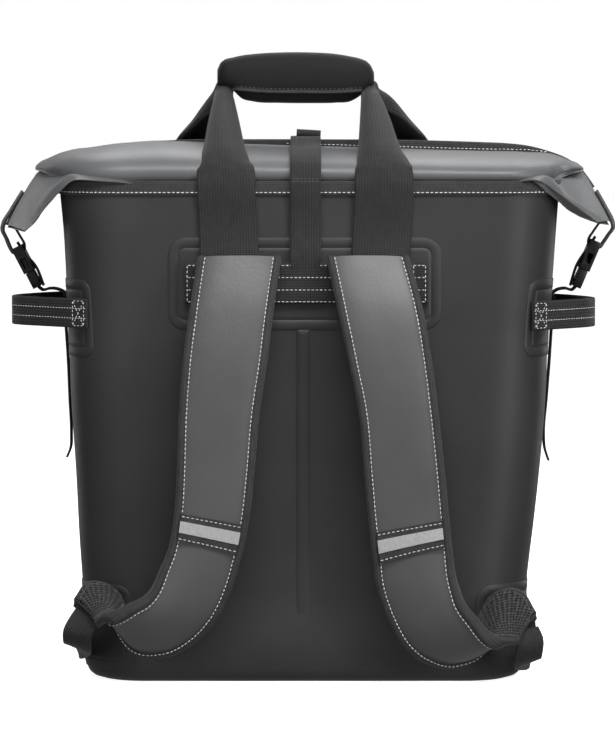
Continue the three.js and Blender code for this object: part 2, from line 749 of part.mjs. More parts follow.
function buildLower(side) {
  const hand = side === 'left' ? -1 : 1;
  const frame = strapFrame(STRAPS[side], hand);
  const width = frame.inner[frame.last].clone().sub(frame.outer[frame.last]).normalize();
  const start = [0.9, 5.5].map((far) => {
    const p = strapPoint(frame, frame.last + 1 + far / 6, 0.5, 0);
    return [...p.toArray(), ...width.toArray()];
  });
  const table = LOWER_WEBBING[side].map(([x, y, z, ...rest]) => [...fit(x, y, z).toArray(), ...rest]);
  const rows = smoothRows([...start, ...table], 3).map((row) => ({
    fitted: true,
    at: row.slice(0, 3),
    across: row.slice(3),
    width: NARROW_WEBBING,
    thick: 2,
  }));
  rows[0].along = frame.along[frame.last];
  rows[1].along = rows[0].along;
  addPiece(`lower_webbing_${side}`, ribbon(rows), WEBBING);
  const places = [0.86, ...CORNER_STEPS, 2.7];
  const heights = [16, 50, 94].map(fitHeight);
  addPiece(`lower_patch_${side}`, wallPatch(hand, places, heights, 0.4, PATCH_THICK), FABRIC);
}

// Side loops: centre x and y in plan, for the left side; the right side has its own rows
const LOOPS = {
  left: { low: 303, high: 328, path: [
    [-184.8, -108.7], [-196.5, -99.5], [-211, -87], [-229, -72], [-245, -57], [-251.5, -44],
    [-248, -29], [-238, -12], [-224, 6], [-212, 18], [-208, 30], [-207.6, 44],
  ] },
  right: { low: 301, high: 326, path: [
    [194.7, -108.8], [204.9, -99.8], [217, -88], [232, -73], [245, -58], [250.5, -45],
    [248, -30], [240, -13], [229, 5], [219.5, 18], [216.2, 30], [215.6, 44],
  ] },
};

function buildSide(side) {
  const hand = side === 'left' ? -1 : 1;
  const places = [0.9, ...CORNER_STEPS, 3, 3.8];
  const heights = [282, 303, 343].map(fitHeight);
  addPiece(`side_patch_${side}`, wallPatch(hand, places, heights, 0.4, PATCH_THICK), FABRIC);
  const { low, high, path } = LOOPS[side];
  const rows = path.map(([x, y]) => ({
    at: [x, y, (low + high) / 2],
    across: [0, 0, 1],
    width: high - low,
    thick: WEB_THICK,
  }));
  addPiece(`side_loop_${side}`, ribbon(rows), WEBBING);
}

// Buckles: top end x and z, lower end x and z
const BUCKLES = {
  left: { top: [-250.5, 368], end: [-232.5, 333] },
  right: { top: [254.5, 373], end: [237.5, 333] },
};

function boxAt(along, wide, thick, from) {
  const box = new THREE.BoxGeometry(thick, wide, along);
  box.translate(0, 0, -(from + along / 2));
  return box;
}

function buildBuckle(side) {
  const top = fit(BUCKLES[side].top[0], 0, BUCKLES[side].top[1]);
  const end = fit(BUCKLES[side].end[0], 0, BUCKLES[side].end[1]);
  const dx = end.x - top.x;
  const dz = end.z - top.z;
  const length = Math.hypot(dx, dz);
  const turn = Math.atan2(-dx, -dz);
  const socketLength = length * 0.62;
  const shell = boxAt(socketLength, BUCKLE_WIDTH, BUCKLE_THICK, 0);
  const slot = boxAt(3.2, BUCKLE_WIDTH - 6, BUCKLE_THICK + 4, 3.2);
  const pocket = boxAt(socketLength, BUCKLE_WIDTH - 5, BUCKLE_THICK - 4, 9);
  const sideWindow = boxAt(9, BUCKLE_WIDTH + 4, 4.6, 11.5);
  const socket = subtract(shell, [slot, pocket, sideWindow]);
  const plateFrom = socketLength + GAP;
  const plate = boxAt(length - plateFrom, BUCKLE_WIDTH - 1, BUCKLE_THICK - 2.5, plateFrom);
  const plateSlot = boxAt(3.2, BUCKLE_WIDTH - 7, BUCKLE_THICK + 4, length - 6.4);
  const prongs = [-1, 1].map((way) => {
    const prong = boxAt(plateFrom - 11, 4.5, 4, 11.5);
    prong.translate(0, way * (BUCKLE_WIDTH / 2 - 5.6), 0);
    return prong;
  });
  const tongue = boxAt(plateFrom - 13, 3.5, 3, 13.5);
  const plug = subtract(union([plate, ...prongs, tongue]), [plateSlot]);
  for (const geometry of [socket, plug]) {
    geometry.rotateY(turn);
    geometry.translate(top.x, 0, top.z);
  }
  addPiece(`buckle_socket_${side}`, socket, PLASTIC, 0.45);
  addPiece(`buckle_plug_${side}`, plug, PLASTIC, 0.45);
}

// Webbing at the buckles: centre x and z of the middle line
const WING_LOOPS = {
  left: [
    [-247.0, 413.8], [-257.3, 396.8], [-262.6, 387.4], [-263.6, 382.0], [-258.5, 378.5],
    [-253.6, 374.0], [-250.8, 368.6],
  ],
  right: [
    [256.4, 414.8], [264.4, 400.8], [269.5, 389.4], [270.4, 384.0], [264.0, 381.2],
    [258.0, 378.4], [254.8, 373.7],
  ],
};
const BUCKLE_WEBBING = {
  left: [
    [-232.3, 332.5], [-229.4, 330.6], [-222.4, 335.0], [-214.0, 333.5], [-207.2, 328.0],
    [-206.8, 318.0],
  ],
  right: [
    [237.4, 332.5], [235.0, 330.6], [229.0, 335.0], [221.5, 333.5], [215.8, 328.0],
    [215.2, 318.0],
  ],
};
const TAILS = {
  left: [
    [-209.5, 326.0], [-209.3, 317.0], [-208.0, 296.0], [-206.4, 270.0], [-205.0, 235.0],
    [-203.8, 205.0], [-206.5, 188.0],
  ],
  right: [
    [218.0, 326.0], [217.7, 317.0], [216.2, 296.0], [214.6, 270.0], [212.0, 235.0],
    [209.8, 205.0], [213.0, 182.0],
  ],
};

function sideRibbon(path, y, width, thick) {
  return ribbon(path.map(([x, z]) => ({ at: [x, y, z], across: [0, 1, 0], width, thick })));
}

function buildSideWebbing(side) {
  addPiece(`wing_loop_${side}`, sideRibbon(WING_LOOPS[side], 0, 18, 2), WEBBING);
  addPiece(`buckle_webbing_${side}`, sideRibbon(BUCKLE_WEBBING[side], 0, 18, 2), WEBBING);
  addPiece(`side_tail_${side}`, sideRibbon(TAILS[side], 0, 20, 2), WEBBING);
}

buildBody();
buildRimBinding();
buildHood();
buildMouthBinding();
buildBackPanel();
buildCentreStrap();
buildHandle();
for (const side of ['left', 'right']) {
  buildStrap(side);
  buildLower(side);
  buildSide(side);
  buildBuckle(side);
  buildSideWebbing(side);
}

export default part;
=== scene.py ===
import math

import bmesh
import bpy
import numpy as np
from mathutils import Matrix, Vector, noise


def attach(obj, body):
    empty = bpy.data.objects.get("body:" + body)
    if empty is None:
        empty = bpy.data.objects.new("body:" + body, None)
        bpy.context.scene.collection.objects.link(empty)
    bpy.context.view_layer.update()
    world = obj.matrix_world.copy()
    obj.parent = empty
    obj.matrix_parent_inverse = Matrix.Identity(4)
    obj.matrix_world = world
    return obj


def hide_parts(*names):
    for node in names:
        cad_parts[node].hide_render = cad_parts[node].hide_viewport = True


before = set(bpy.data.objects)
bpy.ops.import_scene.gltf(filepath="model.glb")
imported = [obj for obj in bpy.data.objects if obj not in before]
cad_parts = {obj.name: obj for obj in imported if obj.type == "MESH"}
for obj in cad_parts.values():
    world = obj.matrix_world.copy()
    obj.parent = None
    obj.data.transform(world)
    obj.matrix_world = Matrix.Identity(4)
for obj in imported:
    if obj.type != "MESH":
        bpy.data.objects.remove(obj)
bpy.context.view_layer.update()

# Sizes in millimetres, the same as the CAD part's
MM = 0.001
BODY_WIDTH = 429
BODY_DEPTH = 230
RIM_HEIGHT = 424
WALL = 20
CORNER_RADIUS = 50
HALF_WIDTH = BODY_WIDTH / 2
HALF_DEPTH = BODY_DEPTH / 2

# Body sections: height share, half width share, half depth share, corner share, shift share
BODY_ROWS = [
    [0.000, 0.820, 0.900, 0.80, 0.0023],
    [0.004, 0.846, 0.936, 0.86, 0.0023],
    [0.010, 0.862, 0.962, 0.92, 0.0023],
    [0.020, 0.874, 0.985, 0.97, 0.0023],
    [0.034, 0.881, 1.000, 1.00, 0.0023],
    [0.184, 0.893, 1.000, 1.00, 0.0023],
    [0.321, 0.916, 1.000, 1.00, 0.0093],
    [0.450, 0.935, 1.000, 1.00, 0.0140],
    [0.580, 0.953, 1.000, 1.00, 0.0177],
    [0.715, 0.963, 1.000, 1.00, 0.0186],
    [0.804, 0.975, 1.000, 1.00, 0.0214],
    [0.906, 0.985, 1.000, 1.00, 0.0228],
    [1.000, 1.000, 1.000, 1.00, 0.0219],
]


# Curves and sections
def unit(v):
    """Vectors of length one."""
    return v / np.maximum(np.linalg.norm(v, axis=-1, keepdims=True), 1e-9)


def smooth(table, x):
    """Values of a table at x, along a smooth curve through its rows."""
    rows = np.array(table, float)
    knots, values = rows[:, 0], rows[:, 1:]
    slopes = np.gradient(values, knots, axis=0)
    x = np.clip(np.asarray(x, float), knots[0], knots[-1])
    low = np.clip(np.searchsorted(knots, x, side="right") - 1, 0, len(knots) - 2)
    wide = (knots[low + 1] - knots[low])[..., None]
    t = (x - knots[low])[..., None] / wide
    a, b = values[low], values[low + 1]
    ma, mb = slopes[low] * wide, slopes[low + 1] * wide
    near = (2 * t**3 - 3 * t**2 + 1) * a + (t**3 - 2 * t**2 + t) * ma
    return near + (3 * t**2 - 2 * t**3) * b + (t**3 - t**2) * mb


def distances(points):
    """Distance along a line of points to each of them."""
    return np.r_[0, np.cumsum(np.linalg.norm(np.diff(points, axis=0), axis=1))]


def between(at, reach, points):
    """Points of a line at distances along it."""
    return np.stack([np.interp(at, reach, points[:, k]) for k in range(3)], -1)


def rounded(angle, power):
    """Cosine and sine of angles, squared off by a power under 1."""
    c, s = np.cos(angle), np.sin(angle)
    return np.sign(c) * np.abs(c) ** power, np.sign(s) * np.abs(s) ** power


def curve(rows, step):
    """Rows of x, y, z and more values, spaced evenly along a smooth path, and their distances."""
    rows = np.array(rows, float)
    reach = distances(rows[:, :3])
    at = np.linspace(0, reach[-1], max(2, round(reach[-1] / step)) + 1)
    return smooth(np.c_[reach, rows], at), at


def flat_section(width, thick, side=10, rounds=4):
    """Outline of flat webbing with round edges, one row for each width and thickness."""
    line = np.linspace(-1, 1, side + 1)
    arc = np.radians(np.linspace(-90, 90, rounds + 1)[1:-1])
    ones = np.ones(arc.size)
    sx = np.r_[line, ones, line[::-1], -ones, -1]
    ex = np.r_[0 * line, np.cos(arc), 0 * line, -np.cos(arc), 0]
    ey = np.r_[-1 + 0 * line, np.sin(arc), 1 + 0 * line, -np.sin(arc), -1]
    width, thick = np.atleast_1d(width)[:, None], np.atleast_1d(thick)[:, None]
    return np.stack([sx * (width - thick) / 2 + ex * thick / 2, ey * thick / 2 + 0 * width], -1)


def round_section(width, thick, power=0.6, count=20):
    """Outline of a padded roll."""
    c, s = rounded(np.linspace(0, 2 * np.pi, count + 1), power)
    return np.stack([c * np.atleast_1d(width)[:, None] / 2, s * np.atleast_1d(thick)[:, None] / 2], -1)


def curled_section(seen, thick, full=50.0, side=22):
    """Outline of webbing of a full width that curls until only the seen width shows."""
    theta = np.linspace(0.01, np.pi / 2, 200)
    ratio = np.sin(theta) / theta
    share = np.clip(np.atleast_1d(seen) / full, 0.05, 0.999)
    turn = np.interp(-share, -ratio, theta)
    radius = np.where(share > ratio[-1], full / (2 * turn), share * full / 2)[:, None]
    loop = flat_section(full + 0 * share, thick, side)
    s, off = loop[..., 0], loop[..., 1]
    return np.stack([(radius - off) * np.sin(s / radius), radius - (radius - off) * np.cos(s / radius)], -1), s


def sweep(rows, section, step=3.0, flip=1):
    """Rings and UVs in millimetres of a section along rows of centre, width direction and two sizes."""
    path, reach = curve(rows, step)
    centre, across = path[:, :3], path[:, 3:6]
    along = unit(np.gradient(centre, axis=0))
    across = unit(across - along * (across * along).sum(1, keepdims=True))
    out = np.cross(along, across) * flip
    loop = section(path[:, 6], path[:, 7])
    loop, places = loop if isinstance(loop, tuple) else (loop, loop[..., 0])
    rings = centre[:, None] + across[:, None] * loop[..., :1] + out[:, None] * loop[..., 1:]
    return rings, np.stack([places, reach[:, None] + 0 * places], -1)


def add_sheet(bm, rings, uvs=None, around=True, ends=True):
    """Adds a grid whose vertices take the places of rings, in millimetres."""
    rows, columns = rings.shape[:2]
    layer = bm.loops.layers.uv.verify()
    made = bmesh.ops.create_grid(bm, x_segments=columns - 1, y_segments=rows - 1, size=0.5)["verts"]
    spot = {}
    for vert in made:
        spot[vert] = round((vert.co.y + 0.5) * (rows - 1)), round((vert.co.x + 0.5) * (columns - 1))
    for face in {face for vert in made for face in vert.link_faces}:
        face.smooth = True
        if uvs is not None:
            for loop in face.loops:
                loop[layer].uv = uvs[spot[loop.vert]]
    for vert, at in spot.items():
        vert.co = rings[at] * MM
    if around:
        bmesh.ops.remove_doubles(bm, verts=made, dist=1e-6)
    if ends:
        rim = {edge for vert in made if vert.is_valid for edge in vert.link_edges if edge.is_boundary}
        bmesh.ops.holes_fill(bm, edges=list(rim), sides=0)


def object_of(name, bm):
    """Turns a bmesh into an object of the scene."""
    mesh = bpy.data.meshes.new(name)
    bm.to_mesh(mesh)
    bm.free()
    made = bpy.data.objects.new(name, mesh)
    bpy.context.scene.collection.objects.link(made)
    return made


def finished(name, bm, look, nodes=(), sharp=50):
    """Turns a bmesh into a piece that rides on the part."""
    bmesh.ops.recalc_face_normals(bm, faces=bm.faces)
    piece = object_of(name, bm)
    mesh = piece.data
    mesh.polygons.foreach_set("use_smooth", [True] * len(mesh.polygons))
    mesh.set_sharp_from_angle(angle=math.radians(sharp))
    mesh.materials.append(look)
    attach(piece, "root")
    if nodes:
        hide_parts(*nodes)
    return piece


def piece_of(name, sheets, look, slot, nodes=(), sharp=50, **options):
    """Piece made of one or more grids, each with its rings and UVs."""
    bm = bmesh.new()
    for rings, uvs in sheets:
        add_sheet(bm, rings, uvs, **options)
    return finished(name, bm, look, nodes, sharp)


# Body wall
def body_sizes(z):
    """Half width, half depth, corner radius and sideways shift of the body at a height."""
    sizes = smooth(BODY_ROWS, np.asarray(z, float) / RIM_HEIGHT)
    scale = np.array([HALF_WIDTH, HALF_DEPTH, CORNER_RADIUS, HALF_WIDTH])
    return np.moveaxis(sizes * scale, -1, 0)


def wall(hand, s, z, off):
    """Point of the wall: s is the distance along it from where the back's flat stretch ends."""
    half, deep, radius, shift = body_sizes(z)
    arc = radius * np.pi / 2
    angle = np.clip(s / radius, 0, np.pi / 2)
    x = half - radius + np.minimum(s, 0) + (radius + off) * np.sin(angle)
    y = -(deep - radius) - (radius + off) * np.cos(angle) + np.maximum(s - arc, 0)
    return np.stack([shift + hand * x, y, z + 0 * x], -1)


def plan_rings(z, off, flat=36, corner=18, side=14):
    """Rings round the body at heights z, moved outwards by off."""
    z, off = np.atleast_1d(z).astype(float)[:, None], np.atleast_1d(off).astype(float)[:, None]
    half, deep, radius, _ = body_sizes(z)
    arc = radius * np.pi / 2
    one = np.linspace(-1, 0, flat, endpoint=False) * (half - radius)
    two = np.linspace(0, 1, corner, endpoint=False) * arc
    three = arc + np.linspace(0, 1, side + 1) * (deep - radius)
    s = np.concatenate([one, two, three], 1)
    back_right = wall(1, s, z, off)
    back_left = wall(-1, s, z, off)
    mirror = np.array([1, -1, 1])
    parts = [
        back_right,
        (back_right * mirror)[:, -2::-1],
        (back_left * mirror)[:, 1:],
        back_left[:, -2::-1],
    ]
    return np.concatenate(parts, 1)


def soften(rings, amount, size, seed):
    """Moves points in and out sideways, as soft walls do."""
    flat = rings.reshape(-1, 3)
    for p in flat:
        wave = noise.noise(Vector((p[0] / size + seed, p[1] / size, p[2] / size)))
        side = Vector((p[0] * 0.35, p[1], 0)).normalized()
        p[0] += side.x * wave * amount
        p[1] += side.y * wave * amount
    return flat.reshape(rings.shape)


def plate_rings(wide, tall, radius, profile, place, pitch=3.0):
    """Rounded plate between its edge and its middle line: profile has inset and height."""
    rows = []
    count = [max(2, round(2 * (size - radius) / pitch)) for size in (wide, tall)]
    for inset, off in profile:
        w, h, r = wide - inset, tall - inset, max(radius - inset, 0)
        corners = [(1, -1), (1, 1), (-1, 1), (-1, -1)]
        loop = []
        for turn, (sx, sy) in enumerate(corners):
            for angle in np.radians(np.linspace(-90, 0, 9) + 90 * turn):
                loop.append((sx * (w - r) + r * math.cos(angle), sy * (h - r) + r * math.sin(angle)))
            sx2, sy2 = corners[(turn + 1) % 4]
            start, end = np.array(loop[-1]), np.array([sx2 * (w - r), sy2 * (h - r)])
            end = end + r * np.array([math.cos(math.radians(90 * turn)), math.sin(math.radians(90 * turn))])
            steps = count[(turn + 1) % 2]
            loop += [tuple(start + (end - start) * k / steps) for k in range(1, steps)]
        loop.append(loop[0])
        loop = np.array(loop)
        rows.append(place(loop[:, 0], loop[:, 1], off))
    return np.array(rows)


# Looks
def add_node(tree, kind, inputs=(), **settings):
    made = tree.nodes.new("ShaderNode" + kind)
    for key, value in settings.items():
        setattr(made, key, value)
    for key, value in dict(inputs).items():
        if isinstance(value, bpy.types.NodeSocket):
            tree.links.new(value, made.inputs[key])
        else:
            made.inputs[key].default_value = value
    return made


def math_node(tree, operation, a, b=None):
    inputs = {0: a} if b is None else {0: a, 1: b}
    return add_node(tree, "Math", inputs, operation=operation).outputs[0]


def weighted(tree, *parts):
    """Sum of sockets, each times its own weight."""
    terms = [math_node(tree, "MULTIPLY", socket, weight) for socket, weight in parts]
    total = terms[0]
    for term in terms[1:]:
        total = math_node(tree, "ADD", total, term)
    return total


def linear(grey, tint=(0, 0, 0)):
    """Linear colour of an sRGB grey of 0 to 255."""
    parts = []
    for extra in tint:
        c = (grey + extra) / 255
        parts.append(c / 12.92 if c < 0.04045 else ((c + 0.055) / 1.055) ** 2.4)
    return (*parts, 1.0)


def new_look(name, rough, specular=0.5, sheen=0.0):
    look = bpy.data.materials.new(name)
    look.use_nodes = True
    tree = look.node_tree
    shader = tree.nodes["Principled BSDF"]
    shader.inputs["Roughness"].default_value = rough
    shader.inputs["Specular IOR Level"].default_value = specular
    shader.inputs["Sheen Weight"].default_value = sheen
    shader.inputs["Sheen Roughness"].default_value = 0.4
    return look, tree, shader


def ramp(tree, factor, stops):
    made = add_node(tree, "ValToRGB", {"Fac": factor})
    made.color_ramp.elements[0].position, made.color_ramp.elements[0].color = stops[0]
    made.color_ramp.elements[1].position, made.color_ramp.elements[1].color = stops[-1]
    for position, colour in stops[1:-1]:
        made.color_ramp.elements.new(position).color = colour
    return made.outputs["Color"]


def dress(tree, shader, factor, stops, height, strength, distance):
    """Colours a look by a factor and raises its surface by a height."""
    tree.links.new(ramp(tree, factor, stops), shader.inputs["Base Color"])
    bump = add_node(tree, "Bump", {"Height": height, "Strength": strength, "Distance": distance})
    tree.links.new(bump.outputs["Normal"], shader.inputs["Normal"])


def coated(name, low, high, rough, grain, tint, specular):
    """Smooth coated cloth: soft tone changes, a fine grain and slight creases."""
    look, tree, shader = new_look(name, rough, specular)
    place = add_node(tree, "TexCoord").outputs["Object"]
    tone = add_node(tree, "TexNoise", {"Vector": place, "Scale": 9.0, "Detail": 4.0, "Roughness": 0.55})
    fine = add_node(tree, "TexNoise", {"Vector": place, "Scale": 1100.0, "Detail": 2.0})
    weave = add_node(tree, "TexVoronoi", {"Vector": place, "Scale": 420.0})
    soft = add_node(tree, "TexNoise", {"Vector": place, "Scale": 26.0, "Detail": 3.0})
    parts = (fine.outputs["Fac"], 0.25), (weave.outputs["Distance"], 0.35), (soft.outputs["Fac"], 2.2)
    stops = [(0.3, linear(low, tint)), (0.7, linear(high, tint))]
    dress(tree, shader, tone.outputs["Fac"], stops, weighted(tree, *parts), grain, 0.0016)
    spread = {"Value": soft.outputs["Fac"], "To Min": rough - 0.06, "To Max": rough + 0.06}
    tree.links.new(add_node(tree, "MapRange", spread).outputs["Result"], shader.inputs["Roughness"])
    return look


def woven(name, low, high, rib=2.4, pick=1.7, strength=0.6):
    """Webbing: chevron ribs along its length, from UVs in millimetres."""
    look, tree, shader = new_look(name, 0.75, 0.3, 0.12)
    uv = add_node(tree, "TexCoord").outputs["UV"]
    split = add_node(tree, "SeparateXYZ", {"Vector": uv})
    across = math_node(tree, "PINGPONG", split.outputs["X"], rib / 2)
    twill = math_node(tree, "SINE", weighted(tree, (split.outputs["Y"], 2 * math.pi / pick), (across, 2.4)))
    groove = math_node(tree, "POWER", math_node(tree, "MULTIPLY", across, 2 / rib), 0.5)
    height = math_node(tree, "ADD", math_node(tree, "MULTIPLY", twill, 0.3), groove)
    place = add_node(tree, "TexCoord").outputs["Object"]
    dust = add_node(tree, "TexNoise", {"Vector": place, "Scale": 160.0, "Detail": 4.0})
    factor = weighted(tree, (height, 0.5), (dust.outputs["Fac"], 0.5))
    dress(tree, shader, factor, [(0.15, linear(low)), (0.95, linear(high))], height, strength, 0.0005)
    return look


def netting(name):
    """Spacer mesh: round holes between pale threads, from UVs in millimetres."""
    look, tree, shader = new_look(name, 0.8, 0.3, 0.2)
    uv = add_node(tree, "TexCoord").outputs["UV"]
    cells = add_node(tree, "TexVoronoi", {"Vector": uv, "Scale": 0.36, "Randomness": 0.25})
    hole = cells.outputs["Distance"]
    dress(tree, shader, hole, [(0.30, linear(10)), (0.42, linear(42)), (0.62, linear(64))], hole, 1.0, 0.0012)
    return look


def plain(name, low, high, rough, scale, strength, specular=0.5):
    """Moulded or spun surface with a faint texture."""
    look, tree, shader = new_look(name, rough, specular)
    place = add_node(tree, "TexCoord").outputs["Object"]
    fine = add_node(tree, "TexNoise", {"Vector": place, "Scale": scale, "Detail": 3.0}).outputs["Fac"]
    dress(tree, shader, fine, [(0.3, linear(low)), (0.7, linear(high))], fine, strength, 0.0003)
    return look


BODY_LOOK = coated("body_cloth", 43, 51, 0.50, 0.10, tint=(1, 0, 0), specular=0.35)
HOOD_LOOK = coated("hood_cloth", 84, 95, 0.47, 0.08, tint=(-1, 0, 2), specular=0.55)
STRAP_LOOK = coated("strap_cloth", 68, 80, 0.40, 0.10, tint=(1, 0, 1), specular=0.45)
WEB_LOOK = woven("webbing", 19, 50)
EDGE_LOOK = woven("edge_tape", 26, 64, rib=1.6, pick=1.2, strength=0.45)
GRIP_LOOK = woven("grip_cloth", 11, 23, rib=0.9, pick=0.8, strength=0.25)
NET_LOOK = netting("net")
SHINE_LOOK = plain("reflective", 148, 164, 0.42, 500.0, 0.08)
PLASTIC_LOOK = plain("buckle_plastic", 20, 27, 0.38, 700.0, 0.06)
THREAD_LOOK = plain("thread", 196, 214, 0.7, 900.0, 0.2, 0.3)
# Dark thread; on the straps' under faces the same dark colour is painted shade, standing in for the pale thread in
# the shaded pocket between strap and body
DARK_AND_SHADED_THREAD_LOOK = plain("dark_and_shaded_thread", 70, 92, 0.7, 900.0, 0.2, 0.3)


# Stitches
def stitch_seed():
    bm = bmesh.new()
    bmesh.ops.create_uvsphere(bm, u_segments=6, v_segments=4, radius=1)
    seed = bpy.data.meshes.new("stitch")
    bm.to_mesh(seed)
    bm.free()
    return seed


SEED = stitch_seed()


def stitches(name, lines, pitch=3.7, long=2.7, wide=0.95, look=THREAD_LOOK):
    """Rows of stitches: each line has points in millimetres and the way out of the cloth there."""
    turns = []
    for points, ways in lines:
        points = np.asarray(points, float)
        ways = np.broadcast_to(np.asarray(ways, float), points.shape)
        reach = distances(points)
        count = max(int(reach[-1] / pitch), 1)
        at = (np.arange(count) + 0.5) * reach[-1] / count
        spot = between(at, reach, points)
        along = unit(between(at + 1, reach, points) - between(at - 1, reach, points))
        out = between(at, reach, ways)
        out = unit(out - along * (out * along).sum(1, keepdims=True))
        side = np.cross(along, out)
        turns.append(np.stack([side * wide / 2, out * wide * 0.42, along * long / 2, spot], 1))
    turns = np.concatenate(turns) * MM
    bm = bmesh.new()
    bm.from_mesh(SEED)
    seed = np.array([(*v.co, 1.0) for v in bm.verts])
    while len(bm.verts) < len(seed) * len(turns):
        bmesh.ops.duplicate(bm, geom=bm.verts[:] + bm.edges[:] + bm.faces[:])
    bm.verts.ensure_lookup_table()
    bmesh.ops.delete(bm, geom=bm.verts[len(seed) * len(turns):], context="VERTS")
    for vert, co in zip(bm.verts, np.einsum("sk,tkc->tsc", seed, turns).reshape(-1, 3)):
        vert.co = co
    return finished(name, bm, look)


# Body
# How far, how wide and where the walls wave
WAVES = (0.9, 85, 3.1)


def build_body():
    low = np.r_[np.linspace(0, 18, 10), np.linspace(24, RIM_HEIGHT, 96)]
    outer = soften(plan_rings(low, 0), *WAVES)
    outer[-1] = plan_rings(RIM_HEIGHT, 0)[0]
    inner = plan_rings(np.linspace(RIM_HEIGHT, 26, 14), -WALL)
    rings = np.concatenate([outer, inner])
    piece_of("insulated_body_skin", [(rings, None)], BODY_LOOK, "body_fabric", ["insulated_body"], 60)


def build_rim():
    loop = flat_section(12.0, 2.0, 6, 4)[0]
    z = RIM_HEIGHT - 1.5 + loop[:, 0]
    base = plan_rings(np.full(len(z), float(RIM_HEIGHT)), 1.35 - loop[:, 1])
    base[..., 2] = z[:, None]
    ring = base[0]
    uvs = np.stack(np.broadcast_arrays(loop[:, :1], distances(ring)[None]), -1)
    bm = bmesh.new()
    add_sheet(bm, base, uvs, ends=False)
    finished("rim_tape", bm, EDGE_LOOK, ["rim_binding"])
    row = plan_rings(RIM_HEIGHT, 2.45)[0]
    seam_height = RIM_HEIGHT - 5.2
    row[:, 2] = seam_height
    ways = row - np.array([4.5, 0, seam_height])
    ways[:, 0] *= 0.3
    stitches("rim_stitches", [(row, ways)], pitch=3.9)


build_body()
build_rim()

# Hood
# Sideways place and height of the top line
RIDGE = [
    [-230, 437], [-225, 443.5], [-211, 451], [-188, 454.5], [-166, 457.2], [-147, 458.8], [-125, 460.0],
    [-90, 459.2], [-47, 457.4], [14, 455.6], [88, 453.4], [154, 451.4], [200, 450.4], [217, 449],
    [235, 443], [241, 437],
]
# Mouth tape: sideways place, height of its middle line, its own height
MOUTH = [
    [-200, 451.0, 2.0], [-166, 455.0, 2.4], [-135, 457.6, 3.0], [-112, 458.8, 4.4],
    [-90, 459.0, 5.2], [-47, 458.4, 6.6],
    [14, 457.5, 8.2], [88, 456.2, 9.8], [154, 454.3, 9.8], [177, 453.6, 9.2], [198, 452.0, 7.0],
    [212, 449.2, 5.0],
    [226, 444.8, 3.6], [239, 437, 3.2], [247, 427.5, 3.0], [252.5, 419.5, 3.0],
]
HOOD_BASE = RIM_HEIGHT + 0.3
HOOD_MIDDLE = 4
FOLD_CREASE = 0.45
# The hood's ends: sideways place, half depth, foot and top
LEFT_END = [
    [-232, 30, 436, 438.5], [-229.5, 44, 435.5, 441], [-223, 60, 433.5, 445], [-214, 75, 431, 449.5],
    [-204, 88, 427.5, 452.3],
]
RIGHT_END = [
    [213, 90, 428, 449.2], [221, 76, 431.5, 447.5], [228, 60, 433, 445], [238, 44, 434.5, 440],
    [242, 30, 435, 437.5],
]
# The folded ends: ridge x and z, edge x, distance behind the middle and z, thickness
LEFT_FOLD = [
    [-146, 434, -137, 115, 426.0, 3],
    [-160, 435, -158, 119.5, 428.0, 5],
    [-181, 437, -179, 119.5, 429.0, 5],
    [-206, 439.5, -196, 112, 428.5, 4],
    [-229, 435.5, -208.5, 101, 418, 3],
    [-245, 414, -220, 90, 406, 3],
    [-256, 396, -230, 80, 393, 3],
    [-261, 387, -239.5, 73, 384.5, 2.5],
]
RIGHT_FOLD = [
    [178, 434, 176, 112, 426, 3],
    [196, 436, 188, 116, 429, 4],
    [218, 438, 202, 111, 427.5, 4],
    [241, 435, 211, 102, 417, 3],
    [254, 416, 222, 93, 406, 3],
    [263, 400, 236, 84, 398, 3],
    [268, 389, 252, 75, 392, 2.5],
]


def arch_ring(x, deep, base, top):
    """Section of the hood: an arch whose foot turns in a little."""
    turn = np.radians(np.linspace(-22, 90, 36))
    low = math.sin(turn[0])
    rise = np.stack([np.cos(turn) ** 0.62, (np.sin(turn) - low) / (1 - low)], -1)
    rise[-1, 0] = 0
    near = np.stack([x + 0 * rise[:, 0], -rise[:, 0] * deep, base + 2 + rise[:, 1] * (top - base - 2)], -1)
    far = near[-2::-1] * np.array([1, -1, 1])
    foot = deep * rise[0, 0]
    return np.concatenate([[[x, -foot, base]], near, far, [[x, foot, base]], [[x, -foot, base]]])


def hood_shell():
    """Sections of the hood from one body corner to the other."""
    half, deep, radius, shift = body_sizes(RIM_HEIGHT)
    angles = np.radians(np.linspace(48, 0, 10))
    corner = np.stack([half - radius + radius * np.sin(angles), deep - radius + radius * np.cos(angles)], -1)
    middle = [[x, deep] for x in np.linspace(-156, 160, 80)]
    left = [[shift - x, y] for x, y in corner]
    right = [[shift + x, y] for x, y in corner[::-1]]
    stations = np.array(left + middle + right)
    tops = smooth(RIDGE, stations[:, 0])[:, 0]
    return [arch_ring(x, y, HOOD_BASE, top) for (x, y), top in zip(stations, tops)]


